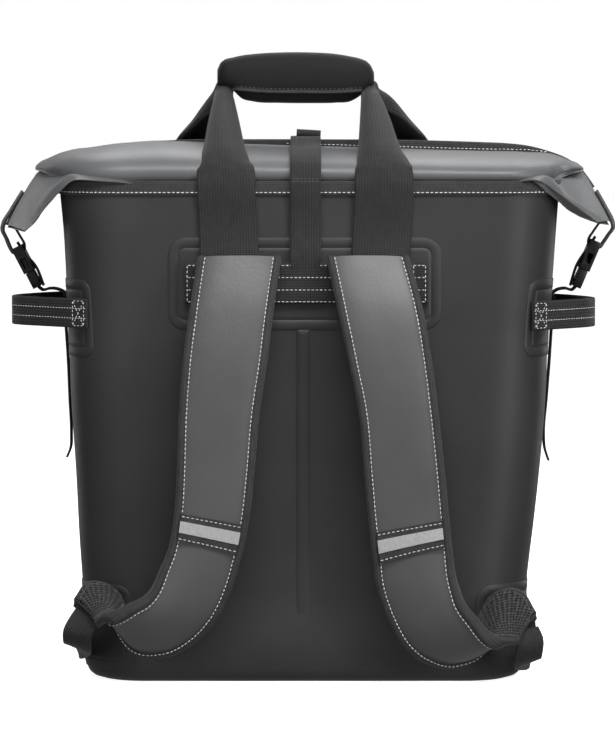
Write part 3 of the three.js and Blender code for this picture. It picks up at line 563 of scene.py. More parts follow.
def fold_rings(table, hand):
    """Sections of a folded end: a sheet with a swell and a rolled edge, over a thinner far half."""
    rows = smooth([[k, *row] for k, row in enumerate(table)], np.linspace(0, len(table) - 1, 73))
    rings = []
    t = np.linspace(0, 1, 31)[:, None]
    for k, (rx, rz, ex, ey, ez, thick) in enumerate(rows):
        ridge, edge = np.array([rx, 0, rz]), np.array([ex, -ey, ez])
        swell = 4 * t * (1 - t) * np.interp(k, [0, 44, 72], [6, 6, 2])
        roll = 3.0 * np.exp(-(((t - 0.9) / 0.07) ** 2)) * math.sin(math.pi * min(k / 60, 1))
        top = ridge + (edge - ridge) * t + swell * np.array([hand * 0.8, 0, 0.6])
        top = top + roll * np.array([hand * 0.5, 0, 0.85])
        deep = thick * np.sqrt(np.clip(1 - t**6, 0, 1)) + 0.6
        under = top + deep * np.array([-hand * 0.6, 0, -0.8])
        mirror = np.array([1, -1, 1])
        lean = np.array([hand * 9.0, 0, 0]) * t
        far, far_under = top * mirror + lean, under * mirror + lean
        rings.append(np.concatenate([top[::-1], far[1:], far_under[1:][::-1], under, top[-1:]]))
    return np.array(rings)


def creased(rings, seed, amount=1.0):
    """Soft creases that grow towards the folded ends."""
    normal = unit(np.cross(np.gradient(rings, axis=0), np.gradient(rings, axis=1)))
    for p, way in zip(rings.reshape(-1, 3), normal.reshape(-1, 3)):
        out = abs(p[0] - HOOD_MIDDLE)
        far = max(0.0, min(1.0, (out - 110) / 90))
        fan = math.atan2(p[2] - 425, 240 - out) * 3
        wave = noise.noise(Vector((fan + seed, p[1] / 70, p[2] / 40)))
        wave += 0.5 * noise.noise(Vector((p[0] / 40 + 7, p[1] / 30, p[2] / 22 + seed)))
        p += way * wave * (0.3 + 1.1 * far) * amount
    return rings


def build_hood():
    stations = np.linspace(0, 4, 17)
    shell = []
    for table in (LEFT_END, RIGHT_END):
        rows = smooth([[k, *row] for k, row in enumerate(table)], stations)
        shell += [arch_ring(*row) for row in rows]
        if table is LEFT_END:
            shell += hood_shell()
    sheets = [(creased(np.array(shell), 2.0), None)]
    for table, hand, seed in ((LEFT_FOLD, -1, 5.0), (RIGHT_FOLD, 1, 9.0)):
        sheets.append((creased(fold_rings(table, hand), seed, FOLD_CREASE), None))
    piece_of("hood_skin", sheets, HOOD_LOOK, "hood_fabric", ["hood"], 70)


build_hood()


def build_mouth():
    path, _ = curve([[x, 0.6, z, tall] for x, z, tall in MOUTH], 4)
    centre, tall = path[:, :3], path[:, 3]
    along = unit(np.gradient(centre, axis=0))
    up = np.cross(along, [0.0, 1.0, 0.0])
    up = up * np.sign(up[:, 2:])
    rows = np.c_[centre, up, tall, np.minimum(3.2, tall)]
    rings, uvs = sweep(rows, flat_section, 3.0)
    piece_of("mouth_tape", [(rings, uvs)], EDGE_LOOK, "webbing", ["mouth_binding"])
    seen = (centre[:, 0] > -20) & (centre[:, 0] < 212)
    near = centre - up * (tall * 0.5 - 3.8)[:, None] + np.array([0, -1.75, 0])
    far = near * np.array([1, -1, 1]) + np.array([0, 1.2, 0])
    lines = [(near[seen], [0, -1, 0]), (far[8:-14], [0, 1, 0])]
    stitches("mouth_stitches", lines, pitch=3.6, long=2.5, wide=0.85)


build_mouth()

# Back panel
# Inset and height of a welded patch with a pressed line, and of the seam tape
PATCH_PROFILE = [[0, 0.05], [0.1, 0.5], [0.5, 0.8], [8.0, 0.85], [8.4, 0.45], [8.9, 0.45], [9.3, 0.8], [12, 0.85]]
TAPE_PROFILE = [[0, 0.1], [0, 0.6], [0.5, 0.95], [5.5, 1.0]]


def add_patch(name, node, size, place, profile=None):
    """Welded patch or tape: size has its half width, half height and corner radius."""
    profile = profile or PATCH_PROFILE + [[min(size[:2]), 0.85]]
    rings = soften(plate_rings(*size, profile, place), *WAVES)
    piece_of(name, [(rings, None)], BODY_LOOK, "body_fabric", [node], ends=False)


def on_back(x, z):
    """Places on the flat of the back round a point."""
    return lambda a, b, off: np.stack([x + a, -HALF_DEPTH - off + 0 * a, z + b], -1)


def on_wall(hand, s, z):
    """Places on the wall round a point, past the corner too."""
    return lambda a, b, off: wall(hand, s + a, z + b, off)


def build_patches():
    add_patch("yoke_patch", "back_yoke_patch", (116, 39.25, 15), on_back(0.45, 341.2))
    for side, hand in (("left", -1), ("right", 1)):
        add_patch(f"loop_patch_{side}", f"side_patch_{side}", (84, 33, 11), on_wall(hand, 113, 311))
        add_patch(f"anchor_patch_{side}", f"lower_patch_{side}", (91, 37, 15), on_wall(hand, 96, 47))
    add_patch("seam_tape", "centre_seam_tape", (5.5, 142, 1.5), on_back(-0.5, 160), TAPE_PROFILE)


def build_yoke_bar():
    left, right, low, high = -101, 105, 324.3, 359.5
    y = -118.9
    rows = [[x, y, (low + high) / 2, 0, 0, 1, high - low, 4.2] for x in (left, -50, 0, 50, right)]
    rings, uvs = sweep(rows, flat_section, 4.0)
    piece_of("yoke_webbing", [(rings, uvs)], WEB_LOOK, "webbing", ["back_yoke_webbing"])
    front = y - 2.2
    lines = []
    for z in (high - 2.4, high - 12.6, low + 12, low + 2.0):
        lines.append(([[left + 2, front, z], [right - 2, front, z]], [0, -1, 0]))
    for x in (left + 2, left + 12, right - 12, right - 2):
        lines.append(([[x, front, low + 2], [x, front, high - 2]], [0, -1, 0]))
    stitches("yoke_stitches", lines, pitch=3.6, long=2.5, wide=0.85)


# Depth and height of the centre strap
CENTRE_PATH = [
    [-118.05, 340], [-120.6, 362], [-118.4, 384], [-118.4, 402], [-119.6, 414], [-119.6, 431],
    [-116.5, 441], [-108, 448],
    [-96, 453.4], [-74, 457.6], [-40, 461.8], [-3.8, 463.6],
]


def build_centre():
    rows = [[1.3, y, z, 1, 0, 0, 26.4, 2.2] for y, z in CENTRE_PATH]
    rings, uvs = sweep(rows, flat_section)
    piece_of("centre_webbing", [(rings, uvs)], WEB_LOOK, "webbing", ["centre_strap"])
    rows = [[x, -1.5, z, 0, 1, 0, 12.0, 6.4] for x, z in ((-6.5, 467.4), (4, 466.8), (14.5, 466.2))]
    rings, uvs = sweep(rows, round_section)
    piece_of("centre_tab", [(rings, uvs)], WEB_LOOK, "webbing", ["centre_strap_tab"])
    lines = []
    for z in (430.5, 428.2):
        lines.append(([[-10, -121.0, z], [12.5, -121.0, z]], [0, -1, 0]))
    stitches("centre_stitches", lines, pitch=3.2, long=2.3, wide=0.8, look=DARK_AND_SHADED_THREAD_LOOK)


build_patches()
build_yoke_bar()
build_centre()

# Padding
PUFF_STEPS = 20


def puff(piece, pressure, limit, held=None):
    """Blows up padding with a short cloth simulation and keeps each point within limit millimetres."""
    mesh = piece.data
    start = np.array([v.co for v in mesh.vertices])
    cloth = piece.modifiers.new("cloth", "CLOTH")
    cloth.settings.quality = 4
    cloth.settings.mass = 0.4
    cloth.settings.tension_stiffness = 12
    cloth.settings.compression_stiffness = 12
    cloth.settings.bending_stiffness = 4
    cloth.settings.use_pressure = True
    cloth.settings.uniform_pressure_force = pressure
    cloth.settings.effector_weights.gravity = 0
    cloth.collision_settings.use_collision = False
    if held is not None:
        group = piece.vertex_groups.new(name="held")
        group.add([int(k) for k in held], 1.0, "REPLACE")
        cloth.settings.vertex_group_mass = "held"
    scene = bpy.context.scene
    for step in range(1, PUFF_STEPS + 1):
        scene.frame_set(step)
    made = piece.evaluated_get(bpy.context.evaluated_depsgraph_get()).data
    end = np.array([v.co for v in made.vertices])
    piece.modifiers.remove(cloth)
    scene.frame_set(1)
    move = end - start
    far = np.linalg.norm(move, axis=1, keepdims=True)
    move *= np.minimum(1, limit * MM / np.maximum(far, 1e-9))
    mesh.vertices.foreach_set("co", (start + move).astype(np.float32).ravel())
    mesh.update()


# Handle
# Middle of each leg from the panel up to the grip, the width that shows and the thickness
BACK_LEGS = {
    "left": [
        [-63.4, -118.60, 326, 50, 2.3], [-63.4, -120.90, 360.6, 50, 2.3],
        [-64.0, -118.40, 384, 50, 2.3], [-64.8, -118.80, 402, 50, 2.3],
        [-65.5, -120.00, 413, 50, 2.3],
        [-66.0, -120.20, 432, 49.6, 2.3], [-66.8, -118.00, 442, 48, 2.3],
        [-67.5, -111.50, 450, 44.5, 2.3], [-68.2, -90.00, 467, 34, 2.5],
        [-69.0, -60.00, 486, 25, 2.6], [-69.5, -30.00, 501, 17, 2.6], [-69.8, -5.00, 508, 14, 2.6],
        [-69, 0, 512, 13, 2.6],
    ],
    "right": [
        [65.0, -118.60, 326, 50, 2.3], [65.0, -120.90, 360.6, 50, 2.3],
        [66.0, -118.40, 384, 50, 2.3], [67.0, -118.80, 402, 50, 2.3],
        [67.6, -120.00, 413, 50, 2.3],
        [68.0, -120.20, 432, 49.6, 2.3], [67.4, -118.00, 442, 48, 2.3],
        [66.5, -111.50, 450, 44.5, 2.3], [64.0, -90.00, 467, 34, 2.5],
        [61.5, -60.00, 486, 25, 2.6], [58.8, -30.00, 501, 17, 2.6], [57.3, -5.00, 508, 13, 2.6],
        [57, 0, 512, 12, 2.6],
    ],
}
FRONT_LEGS = {
    "left": [
        [-100, 116.80, 345, 50, 2.3], [-100, 116.80, 400, 50, 2.3], [-101, 119.60, 413, 50, 2.3],
        [-101, 119.60, 432, 49, 2.3], [-99.0, 110.00, 451, 46, 2.3], [-92.0, 68.00, 470, 40, 2.5],
        [-81.5, 37.00, 486, 30, 2.6], [-74.5, 17.00, 500, 19, 2.6], [-70.5, 5.00, 508, 14, 2.6],
        [-69, 1, 512, 13, 2.6],
    ],
    "right": [
        [98, 116.80, 345, 50, 2.3], [98, 116.80, 400, 50, 2.3], [99, 119.60, 413, 50, 2.3],
        [99, 119.60, 432, 49, 2.3], [96.0, 110.00, 451, 46, 2.3], [88.0, 68.00, 470, 40, 2.5],
        [76.5, 37.00, 486, 30, 2.6], [67.0, 17.00, 500, 19, 2.6], [58.0, 5.00, 508, 13, 2.6],
        [57, 1, 512, 12, 2.6],
    ],
}
# Sideways place, low and high edge and half depth of the grip
GRIP = [
    [-75.5, 509.8, 522.0, 7.0], [-73.5, 507.4, 527.0, 10.0], [-70.0, 506.8, 530.4, 12.6],
    [-62.0, 504.0, 532.8, 14.0],
    [-55.0, 497.5, 534.4, 14.5], [-44.0, 494.4, 535.8, 14.9], [-20.0, 493.2, 537.2, 15.0],
    [5.0, 493.0, 537.2, 15.0], [28.0, 493.4, 535.8, 15.0],
    [41.0, 494.8, 533.6, 14.7], [49.5, 500.0, 531.6, 14.2], [55.5, 506.0, 528.6, 12.4],
    [59.0, 507.4, 524.4, 9.8], [61.0, 509.4, 519.5, 6.8],
]
# Sideways place and height of the grip's seam
GRIP_SEAM = [[-60, 505.5], [-30, 503.4], [0, 503.2], [30, 503.2], [51, 504.4]]


def build_legs():
    for table, place, flip in ((BACK_LEGS, "back", 1), (FRONT_LEGS, "front", -1)):
        for side in ("left", "right"):
            rows = [[x, y, z, 1, 0, 0, w, t] for x, y, z, w, t in table[side]]
            rings, uvs = sweep(rows, curled_section, 3.0, flip)
            node = f"handle_strap_{place}_{side}"
            piece_of(f"{node}_webbing", [(rings, uvs)], WEB_LOOK, "webbing", [node])


def build_grip():
    places = np.r_[np.linspace(-75.5, -68, 7)[:-1], np.linspace(-68, 54, 60), np.linspace(54, 61, 7)[1:]]
    rows = smooth(GRIP, places)
    power = 0.8
    angle = np.linspace(0, 2 * np.pi, 49) - np.pi / 2
    c, s = rounded(angle, power)
    low, high, deep = rows[:, :1], rows[:, 1:2], rows[:, 2:3]
    height = (low + high) / 2 + s * (high - low) / 2
    rings = np.stack(np.broadcast_arrays(places[:, None], c * deep, height), -1)
    round_way = angle[None] * 17 + 0 * deep
    uvs = np.stack(np.broadcast_arrays(round_way, places[:, None]), -1)
    grip = piece_of("grip_wrap", [(rings, uvs)], GRIP_LOOK, "webbing", ["handle_grip"])
    puff(grip, 2.0, 3.0)
    inner = (places > -64) & (places < 51)
    seam_z = smooth(GRIP_SEAM, places[inner])[:, 0]
    base = (low + high)[inner, 0] / 2
    tall = (high - low)[inner, 0] / 2
    share = np.clip((seam_z - base) / tall, -0.99, 0.99)
    flatness = np.abs(share) ** (1 / power)
    y = -deep[inner, 0] * (1 - flatness**2) ** (power / 2)
    seam = np.stack([places[inner], y - 0.5, seam_z], -1)
    rings, uvs = sweep(np.c_[seam, np.tile([0, 0.3, 1, 3.2, 1.6], (len(seam), 1))], flat_section, 3.0)
    piece_of("grip_seam", [(rings, uvs)], EDGE_LOOK, "webbing")
    lines = [(seam + np.array([0, -1.6, 2.4]), [0, -1, -0.2])]
    stitches("grip_stitches", lines, pitch=3.6, long=2.4, wide=0.7, look=DARK_AND_SHADED_THREAD_LOOK)


build_legs()
build_grip()

# Shoulder straps
# Outer and inner edge of each strap, from the yoke down
STRAPS = {
    "left": [
        [-90, -128.4, 364, -19, -128.4, 364], [-97, -147, 316, -26, -147, 316],
        [-102, -158, 276, -31, -158, 276], [-105, -164, 236, -37, -164, 236],
        [-107, -168, 180, -42, -167, 181], [-109, -169, 150, -46, -167, 146],
        [-114, -171, 121, -53, -166, 113], [-121, -173, 104, -62, -163, 84],
        [-128, -175, 88, -75, -158, 59], [-135, -177, 80, -91, -151, 42],
        [-144, -178, 75, -114, -143, 29], [-154, -177, 68, -143, -132, 32],
        [-162, -175, 63, -156, -127, 55], [-165, -172, 61, -159, -126, 74],
        [-167, -169, 59, -170, -125, 84], [-168, -165, 57, -184, -128, 86],
        [-169, -160, 56, -195, -143, 74],
    ],
    "right": [
        [89, -128.4, 364, 19, -128.4, 364], [101, -147, 318, 29, -147, 318],
        [108, -158, 276, 38, -158, 276], [113, -164, 236, 46, -164, 236],
        [119, -168, 180, 51, -167, 180], [122, -169, 147, 54, -167, 147],
        [125, -171, 118, 58, -166, 113], [127, -173, 101, 62, -163, 86],
        [130, -175, 89, 72, -158, 59], [135, -177, 75, 86, -151, 36],
        [144, -178, 63, 102, -143, 24], [152, -177, 52, 124, -132, 19],
        [159, -175, 44, 148, -127, 31], [164, -172, 40, 153, -126, 59],
        [168, -169, 39, 166, -125, 78], [172, -165, 39, 184, -128, 80],
        [176, -160, 39, 197, -143, 63],
    ],
}


class Strap:
    """Smooth frame of a shoulder strap: where its edges run and which way its face looks."""

    def __init__(self, side):
        rows = np.array(STRAPS[side], float)
        self.hand = -1 if side == "left" else 1
        middle = (rows[:, :3] + rows[:, 3:]) / 2
        self.knots = distances(middle)
        self.table = np.c_[self.knots, rows]
        self.length = self.knots[-1]

    def at(self, reach, share, off):
        """Points at distances along, shares across from the outer edge and distances off the middle."""
        reach, share, off = np.broadcast_arrays(*[np.asarray(k, float) for k in (reach, share, off)])
        rows = smooth(self.table, reach)
        step = 2.0
        ahead, behind = smooth(self.table, reach + step), smooth(self.table, reach - step)
        outer, inner = rows[..., :3], rows[..., 3:]
        move = ahead - behind
        along = unit(move[..., :3] * (1 - share[..., None]) + move[..., 3:] * share[..., None])
        face = unit(np.cross(along, unit(inner - outer))) * -self.hand
        beyond = np.maximum(reach - self.length, 0)[..., None]
        return outer + (inner - outer) * share[..., None] + face * off[..., None] + along * beyond

    def width(self, reach):
        rows = smooth(self.table, reach)
        return np.linalg.norm(rows[..., 3:] - rows[..., :3], axis=-1)

    def way(self, reach, share):
        return self.at(reach, share, 1.0) - self.at(reach, share, 0.0)

    def section(self, number):
        return np.interp(number, np.arange(len(self.knots)), self.knots)


def build_pad(side, strap, reach, width):
    """Padded strap: a short simulation fills it while its edges stay in place."""
    q = np.linspace(0, 1, 19)
    over = 3.0 + 2.9 * (1 - np.abs(2 * q - 1) ** 3)
    under = -3.4 - 1.2 * (1 - np.abs(2 * q - 1) ** 3)
    share = np.r_[q, q[::-1], 0] * 0.86 + 0.07
    off = np.r_[over, under, over[0]]
    rings = strap.at(reach[:, None], share[None], off[None])
    uvs = np.stack([share[None] * width, reach[:, None] + 0 * share[None]], -1)
    pad = piece_of(f"strap_pad_{side}", [(rings, uvs)], STRAP_LOOK, "strap_fabric", [f"shoulder_pad_{side}"])
    co = np.array([v.co for v in pad.data.vertices]) / MM
    edge = np.concatenate([rings[:, c] for c in (0, 18, 19, 37)] + [rings[0], rings[-1]])
    near = np.array([np.abs(edge - p).sum(1).min() < 0.5 for p in co])
    puff(pad, 3.0, 2.2, np.nonzero(near)[0])


def build_net(side, strap, reach, width):
    """Mesh lining on the wearer's face of a strap."""
    net_share = np.linspace(0.08, 0.92, 15)
    loop = np.r_[net_share, net_share[::-1], net_share[0]]
    net_off = np.r_[np.full(15, -6.2), np.full(15, -4.6), -6.2]
    rings = strap.at(reach[:, None], loop[None], net_off[None])
    uvs = np.stack([loop[None] * width, reach[:, None] + 0 * loop[None]], -1)
    piece_of(f"strap_net_{side}", [(rings, uvs)], NET_LOOK, "strap_mesh", [f"shoulder_mesh_{side}"])


def build_edging(side, strap):
    """Binding down both edges of a strap and round its end."""
    edge_reach = np.linspace(0, strap.length + 2.5, 150)
    edge_width = strap.width(edge_reach)[:, None]
    angle = np.linspace(0, 2 * np.pi, 21)
    c, s = rounded(angle, 0.7)
    sheets = []
    for start, way in ((0, 1), (1, -1)):
        across = start + way * (3.5 + 3.5 * c[None]) / edge_width
        rings = strap.at(edge_reach[:, None], across, (0.1 + 6.0 * s)[None])
        uvs = np.stack([angle[None] * 4.6 + 0 * edge_width, edge_reach[:, None] + 0 * angle[None]], -1)
        sheets.append((rings, uvs))
    end_share = np.linspace(0.02, 0.98, 26)
    rings = strap.at(strap.length + 3.0 + 3.4 * c[None], end_share[:, None], (5.4 * s)[None])
    uvs = np.stack([angle[None] * 4.6 + 0 * end_share[:, None], end_share[:, None] * 40 + 0 * angle[None]], -1)
    sheets.append((rings, uvs))
    piece_of(f"strap_edging_{side}", sheets, EDGE_LOOK, "webbing", [f"shoulder_binding_{side}"])


def build_strap_seams(side, strap):
    """Stitch rows inside both edges of a strap, on both faces."""
    lines, under_lines = [], []
    rows = np.linspace(1, strap.length - 1, 160)
    row_width = strap.width(rows)
    for share in (6.6 / row_width, 1 - 6.6 / row_width):
        lines.append((strap.at(rows, share, 6.0), strap.way(rows, share)))
        under_lines.append((strap.at(rows, share, -6.3), -strap.way(rows, share)))
    stitches(f"strap_stitches_{side}", lines)
    # The under rows are the same seam as the pale rows on top, darkened as painted shade for the pocket under the
    # strap
    stitches(f"strap_under_stitches_{side}", under_lines, look=DARK_AND_SHADED_THREAD_LOOK)


def build_reflector(side, strap):
    """Band across a strap with a reflective strip on it."""
    top = strap.section(4.9) + 4.5 if side == "left" else strap.section(5.2)
    tall = 24.5
    slant = 7.0 if side == "left" else 11.5
    share = np.linspace(0.09, 0.91, 17)
    loop = np.r_[share, share[::-1], share[0]]
    for name, low, high, off, look, slot in (
        ("band", 0, 1, 7.6, EDGE_LOOK, "webbing"), ("strip", 0.27, 0.68, 8.3, SHINE_LOOK, "reflective"),
    ):
        at = (top + tall * np.linspace(low, high, 9))[:, None] + slant * (loop[None] - 0.5)
        offs = np.r_[np.full(17, off), np.full(17, off - 1.4), off]
        rings = strap.at(at, loop[None], offs[None])
        uvs = np.stack([loop[None] * 60 + 0 * at, at], -1)
        piece_of(f"reflector_{name}_{side}_cloth", [(rings, uvs)], look, slot, [f"reflector_{name}_{side}"])
    lines = []
    for k in (0.1, 0.9):
        at = top + tall * k + slant * (share - 0.5)
        lines.append((strap.at(at, share, 7.9), strap.way(at, share)))
    stitches(f"reflector_stitches_{side}", lines, pitch=3.8, long=2.6, wide=0.8)


def build_strap(side):
    strap = Strap(side)
    reach = np.linspace(0, strap.length - 1, 116)
    width = strap.width(reach)[:, None]
    build_pad(side, strap, reach, width)
    build_net(side, strap, reach, width)
    build_edging(side, strap)
    build_strap_seams(side, strap)
    build_reflector(side, strap)


for side in ("left", "right"):
    build_strap(side)

# Webbing at the sides
# Middle of the lower webbing and the direction of its width
LOWER_WEBBING = {
    "left": [
        [-191.5, -154.5, 47.0, -0.96, 0.12, 0.18], [-191.8, -150.0, 39.5, -0.97, 0.06, 0.22],
        [-192.0, -142.0, 34.5, -0.94, 0.00, 0.34], [-192.5, -130.0, 32.0, -0.88, 0.00, 0.47],
        [-194.0, -117.0, 30.8, -0.75, 0.00, 0.66], [-195.5, -102.0, 30.0, -0.50, 0.00, 0.86],
        [-195.0, -86.0, 29.2, -0.22, 0.00, 0.97], [-193.2, -70.0, 28.5, 0.00, 0.00, 1.00],
        [-192.7, -44.0, 28.5, 0.00, 0.00, 1.00],
    ],
    "right": [
        [191.0, -155.0, 40.0, 0.85, 0.30, 0.40], [190.0, -152.0, 29.0, 0.95, 0.15, 0.25],
        [189.5, -144.0, 22.0, 0.94, 0.00, 0.34], [190.5, -131.0, 19.5, 0.88, 0.00, 0.47],
        [193.0, -117.0, 19.5, 0.75, 0.00, 0.66], [195.5, -102.0, 20.0, 0.50, 0.00, 0.86],
        [195.5, -86.0, 20.3, 0.22, 0.00, 0.97], [194.0, -70.0, 20.0, 0.00, 0.00, 1.00],
        [193.5, -44.0, 20.0, 0.00, 0.00, 1.00],
    ],
}
# Low and high edge of each side loop, and its path from the back to the far end
LOOPS = {
    "left": (303, 328, [
        [-184.8, -108.7], [-196.5, -99.5], [-211, -87], [-229, -72], [-245, -57], [-251.5, -44],
        [-248, -29], [-238, -12], [-224, 6], [-212, 18], [-208, 30], [-207.6, 44],
    ]),
    "right": (301, 326, [
        [194.7, -108.8], [204.9, -99.8], [217, -88], [232, -73], [245, -58], [250.5, -45],
        [248, -30], [240, -13], [229, 5], [219.5, 18], [216.2, 30], [215.6, 44],
    ]),
}
# Sideways place and height along the webbing of the folded ends, the buckles and the tails
WING_LOOPS = {
    "left": [
        [-245.5, 416.0], [-256.4, 398.6], [-262.4, 388.4], [-263.4, 383.5], [-259.8, 374.5],
        [-256.2, 366.0], [-253.6, 362.0],
        [-249.0, 363.2], [-244.6, 365.8], [-244.4, 370.0], [-248.0, 377.0], [-252.6, 385.0],
    ],
    "right": [
        [255.0, 416.5], [263.4, 401.6], [269.0, 390.4], [270.0, 385.5], [265.5, 378.0],
        [260.8, 371.0], [258.0, 367.0],
        [253.4, 368.0], [248.8, 370.2], [248.6, 374.4], [252.4, 381.0], [258.4, 389.5],
    ],
}
BUCKLE_WEBBING = {
    "left": [[-232.3, 333.5], [-228.4, 330.2], [-222.0, 331.6], [-214.0, 330.6], [-207.6, 326.4], [-206.8, 318.0]],
    "right": [[237.4, 333.5], [234.0, 330.2], [228.6, 331.6], [221.5, 330.6], [216.1, 326.4], [215.2, 318.0]],
}
TAILS = {
    "left": [
        [-209.5, 326.0], [-209.3, 317.0], [-208.0, 296.0], [-206.4, 270.0], [-205.0, 235.0],
        [-203.8, 205.0], [-204.4, 192], [-207.5, 184.0],
    ],
    "right": [
        [218.0, 326.0], [217.7, 317.0], [216.2, 296.0], [214.6, 270.0], [212.0, 235.0],
        [209.8, 205.0], [210.6, 192], [214.0, 181.0],
    ],
}
# Upper and lower end of each buckle
BUCKLES = {"left": ([-250.5, 368], [-232.5, 333]), "right": ([254.5, 373], [237.5, 333])}


def side_web(name, path, width, thick, node):
    """Webbing that hangs at the side, with its width from back to front."""
    rings, uvs = sweep([[x, 0, z, 0, 1, 0, width, thick] for x, z in path], flat_section, 2.5)
    return piece_of(name, [(rings, uvs)], WEB_LOOK, "webbing", [node] if node else ())


def cross_box(points, ways, low, high, start, end):
    """Stitched box with a cross, on a band between two heights and two distances along it."""
    reach = distances(points)

    def spot(at, z):
        p = between(at, reach, points)
        p[..., 2] = z
        return p

    def way(at):
        return between(at, reach, ways)

    t = np.linspace(0, 1, 8)
    along = start + (end - start) * t
    lines = [(spot(along, low + 0 * t), way(along)), (spot(along, high + 0 * t), way(along))]
    for a, b in ((start, start), (end, end), (start, end), (end, start)):
        at = a + (b - a) * t
        lines.append((spot(at, low + (high - low) * t), way(at)))
    return lines


def build_lower(side, strap):
    """Webbing from a strap's end round to the body side."""
    first = [strap.at(strap.length + far, 0.5, 0.0) for far in (1.0, 6.5)]
    width = unit(strap.at(strap.length, 1.0, 0.0) - strap.at(strap.length, 0.0, 0.0))
    rows = [[*p, *width, 25, 2] for p in first] + [[*row, 25, 2] for row in LOWER_WEBBING[side]]
    rings, uvs = sweep(rows, flat_section)
    piece_of(f"lower_webbing_{side}_band", [(rings, uvs)], WEB_LOOK, "webbing", [f"lower_webbing_{side}"])


def build_loop(side, hand):
    """Webbing loop on a body side, sewn down with a crossed box at each end."""
    low, high, path = LOOPS[side]
    centre = (low + high) / 2
    rows = [[x, y, centre, 0, 0, 1, high - low, 2.4] for x, y in path]
    rings, uvs = sweep(rows, flat_section)
    piece_of(f"side_loop_{side}_band", [(rings, uvs)], WEB_LOOK, "webbing", [f"side_loop_{side}"])
    line, _ = curve([[x, y, centre] for x, y in path], 3)
    along = unit(np.gradient(line, axis=0))
    ways = np.cross(along, [0.0, 0.0, 1.0]) * -hand
    ways = ways * np.sign((ways * np.array([hand, -0.6, 0])).sum(1).mean())
    lines = []
    for way in (1, -1):
        skin = line + ways * way * 1.35
        for z in (centre + 4.2, centre - 4.2):
            row = skin.copy()
            row[:, 2] = z
            lines.append((row, ways * way))
    skin = line + ways * 1.35
    total = np.linalg.norm(np.diff(line, axis=0), axis=1).sum()
    for start, end in ((2.5, 15), (total - 15, total - 2.5)):
        lines += cross_box(skin, ways, low + 2, high - 2, start, end)
    stitches(f"side_loop_stitches_{side}", lines, pitch=3.2, long=2.2, wide=0.75)


def build_side(side):
    strap = Strap(side)
    hand = strap.hand
    build_lower(side, strap)
    build_loop(side, hand)
    path = WING_LOOPS[side]
    lean = np.interp(np.arange(len(path)), [0, 2, 5, 8, 11], [0.18, 0.20, 0.20, 0.12, 0.1])
    rows = [[x, 0, z, hand * k, 1, 0, 18, 2] for (x, z), k in zip(path, lean)]
    rings, uvs = sweep(rows, flat_section, 1.5)
    piece_of(f"wing_loop_{side}_band", [(rings, uvs)], WEB_LOOK, "webbing", [f"wing_loop_{side}"])
    side_web(f"buckle_webbing_{side}_band", BUCKLE_WEBBING[side], 18, 2, f"buckle_webbing_{side}")
    side_web(f"side_tail_{side}_band", TAILS[side], 20, 1.8, f"side_tail_{side}")
    (tx, tz), (ex, ez) = BUCKLES[side]
    strand = [
        [tx, tz + 4], [tx - hand * 6.6, tz - 6],
        [(tx + ex) / 2 - hand * 7.2, (tz + ez) / 2], [ex - hand * 5, ez + 1],
    ]
    side_web(f"buckle_strand_{side}", strand, 17, 1.4, None)
    build_buckle(side)


def build_buckle(side):
    """Buckle halves from their CAD solids, with rounded edges and ribs."""
    (tx, tz), (ex, ez) = BUCKLES[side]
    down = Vector((ex - tx, 0, ez - tz)).normalized()
    out = Vector((down.z, 0, -down.x)) * (1 if side == "left" else -1)
    for half in ("socket", "plug"):
        node = f"buckle_{half}_{side}"
        bm = bmesh.new()
        bm.from_mesh(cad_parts[node].data)
        bmesh.ops.remove_doubles(bm, verts=bm.verts, dist=1e-6)
        bmesh.ops.dissolve_limit(bm, angle_limit=0.02, verts=bm.verts, edges=bm.edges)
        edges = [e for e in bm.edges if len(e.link_faces) == 2 and e.calc_face_angle() > 0.6]
        bmesh.ops.bevel(
            bm, geom=edges, offset=0.0007, offset_type="OFFSET", segments=2, profile=0.5,
            affect="EDGES", material=-1, clamp_overlap=True,
        )
        length = math.hypot(ex - tx, ez - tz)
        for k in range(4):
            at = (0.16 if half == "socket" else 0.76) * length + k * 2.2
            for way in (1, -1):
                middle = Vector((tx, 0, tz)) + down * at + out * way * (4.9 if half == "socket" else 3.7)
                rows = [[out[r] * 1.1, (0, 15, 0)[r], down[r], middle[r]] for r in range(3)]
                turn = Matrix([[value * MM for value in row] for row in rows] + [[0, 0, 0, 1]])
                bmesh.ops.create_cube(bm, size=1, matrix=turn)
        finished(f"{node}_shell", bm, PLASTIC_LOOK, [node], 35)


for side in ("left", "right"):
    build_side(side)


# Stage
STAGE_RADIUS = 12.0
# Name, place, aim, size, power and whether glossy surfaces show the light
LIGHTS = [
    ("top_front", (0.3, -1.25, 1.9), (0, 0, 0.4), (1.5, 0.6), 42, True),
    ("right_front", (1.9, -1.9, 0.7), (0.1, 0, 0.25), (0.7, 1.2), 26, True),
    ("left_front", (-1.6, -2.2, 0.5), (0, 0, 0.15), (0.7, 1.0), 12, False),
    ("low_front", (-0.3, -2.3, 0.22), (0, 0, 0.05), (1.8, 0.35), 6, False),
    ("top_back", (0.2, 1.1, 1.7), (0, 0, 0.4), (1.6, 0.8), 16, True),
    ("left_edge", (-1.5, 1.6, 0.6), (0, 0, 0.3), (0.3, 1.4), 5, True),
    ("right_edge", (1.5, 1.6, 0.6), (0, 0, 0.3), (0.3, 1.4), 6, True),
]
# The camera's sensor in millimetres, the picture's height and the focal length in pixels,
# and how far away the camera stands in metres
SENSOR = 36
PICTURE_HEIGHT = 735
FOCAL_LENGTH = 4570
CAMERA_FAR = 4
CAMERA_TILT = math.radians(4)


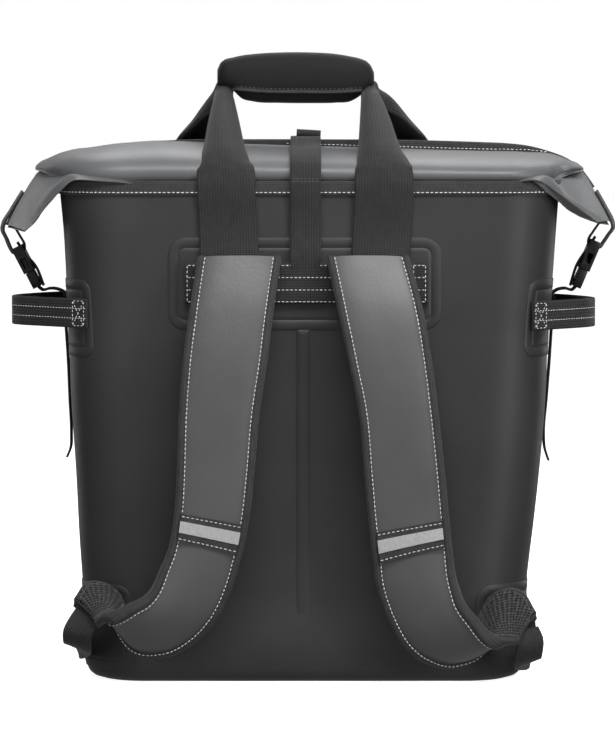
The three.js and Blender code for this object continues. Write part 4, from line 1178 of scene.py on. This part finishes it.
def add_stage(name, bm, rough, specular, grey, glow):
    """Glowing surface that only the camera sees."""
    thing = object_of(name, bm)
    look, _, shader = new_look(f"{name}_paint", rough, specular)
    shader.inputs["Base Color"].default_value = (grey, grey, grey, 1)
    shader.inputs["Emission Color"].default_value = (1, 1, 1, 1)
    shader.inputs["Emission Strength"].default_value = glow
    thing.data.materials.append(look)
    thing.visible_diffuse = False
    thing.visible_glossy = False
    return thing


def build_stage():
    """White floor and a round white backdrop."""
    bm = bmesh.new()
    bmesh.ops.create_grid(bm, x_segments=1, y_segments=1, size=STAGE_RADIUS)
    add_stage("floor", bm, 0.9, 0.1, 0.85, 0.86)
    bm = bmesh.new()
    bmesh.ops.create_cone(bm, segments=96, radius1=STAGE_RADIUS, radius2=STAGE_RADIUS, depth=16, cap_ends=False)
    backdrop = add_stage("backdrop", bm, 1.0, 0.0, 0, 1.0)
    backdrop.visible_shadow = False


def add_light(name, place, aim, size, power, glossy):
    data = bpy.data.lights.new(name, "AREA")
    data.shape = "RECTANGLE"
    data.size, data.size_y = size
    data.energy = power
    light = bpy.data.objects.new(name, data)
    light.location = place
    way = Vector(aim) - Vector(place)
    light.rotation_mode = "QUATERNION"
    light.rotation_quaternion = way.to_track_quat("-Z", "Y")
    light.visible_glossy = glossy
    bpy.context.scene.collection.objects.link(light)


build_stage()
for light_row in LIGHTS:
    add_light(*light_row)


def build_world():
    """Pale all round, darker at the sides."""
    world = bpy.data.worlds.new("studio")
    bpy.context.scene.world = world
    world.use_nodes = True
    tree = world.node_tree
    way = add_node(tree, "TexCoord").outputs["Generated"]
    split = add_node(tree, "SeparateXYZ", {"Vector": way})
    sideways = math_node(tree, "ABSOLUTE", split.outputs["X"])
    span = {"Value": sideways, "From Min": 0.2, "From Max": 0.8, "To Min": 0.34, "To Max": 0.12}
    shade = add_node(tree, "MapRange", span).outputs["Result"]
    tree.links.new(shade, tree.nodes["Background"].inputs["Strength"])
    tree.nodes["Background"].inputs["Color"].default_value = (1, 1, 1, 1)


build_world()

camera_data = bpy.data.cameras.new("camera")
camera_data.sensor_width = SENSOR
camera_data.lens = SENSOR * FOCAL_LENGTH / PICTURE_HEIGHT
camera_data.clip_end = 60
camera = bpy.data.objects.new("camera", camera_data)
bpy.context.scene.collection.objects.link(camera)
aim = Vector((0.003, 0, 0.262))
camera.location = aim + Vector((0, -math.cos(CAMERA_TILT), math.sin(CAMERA_TILT))) * CAMERA_FAR
camera.rotation_mode = "QUATERNION"
camera.rotation_quaternion = (aim - camera.location).to_track_quat("-Z", "Y")
bpy.context.scene.camera = camera
bpy.context.scene.view_settings.view_transform = "Standard"
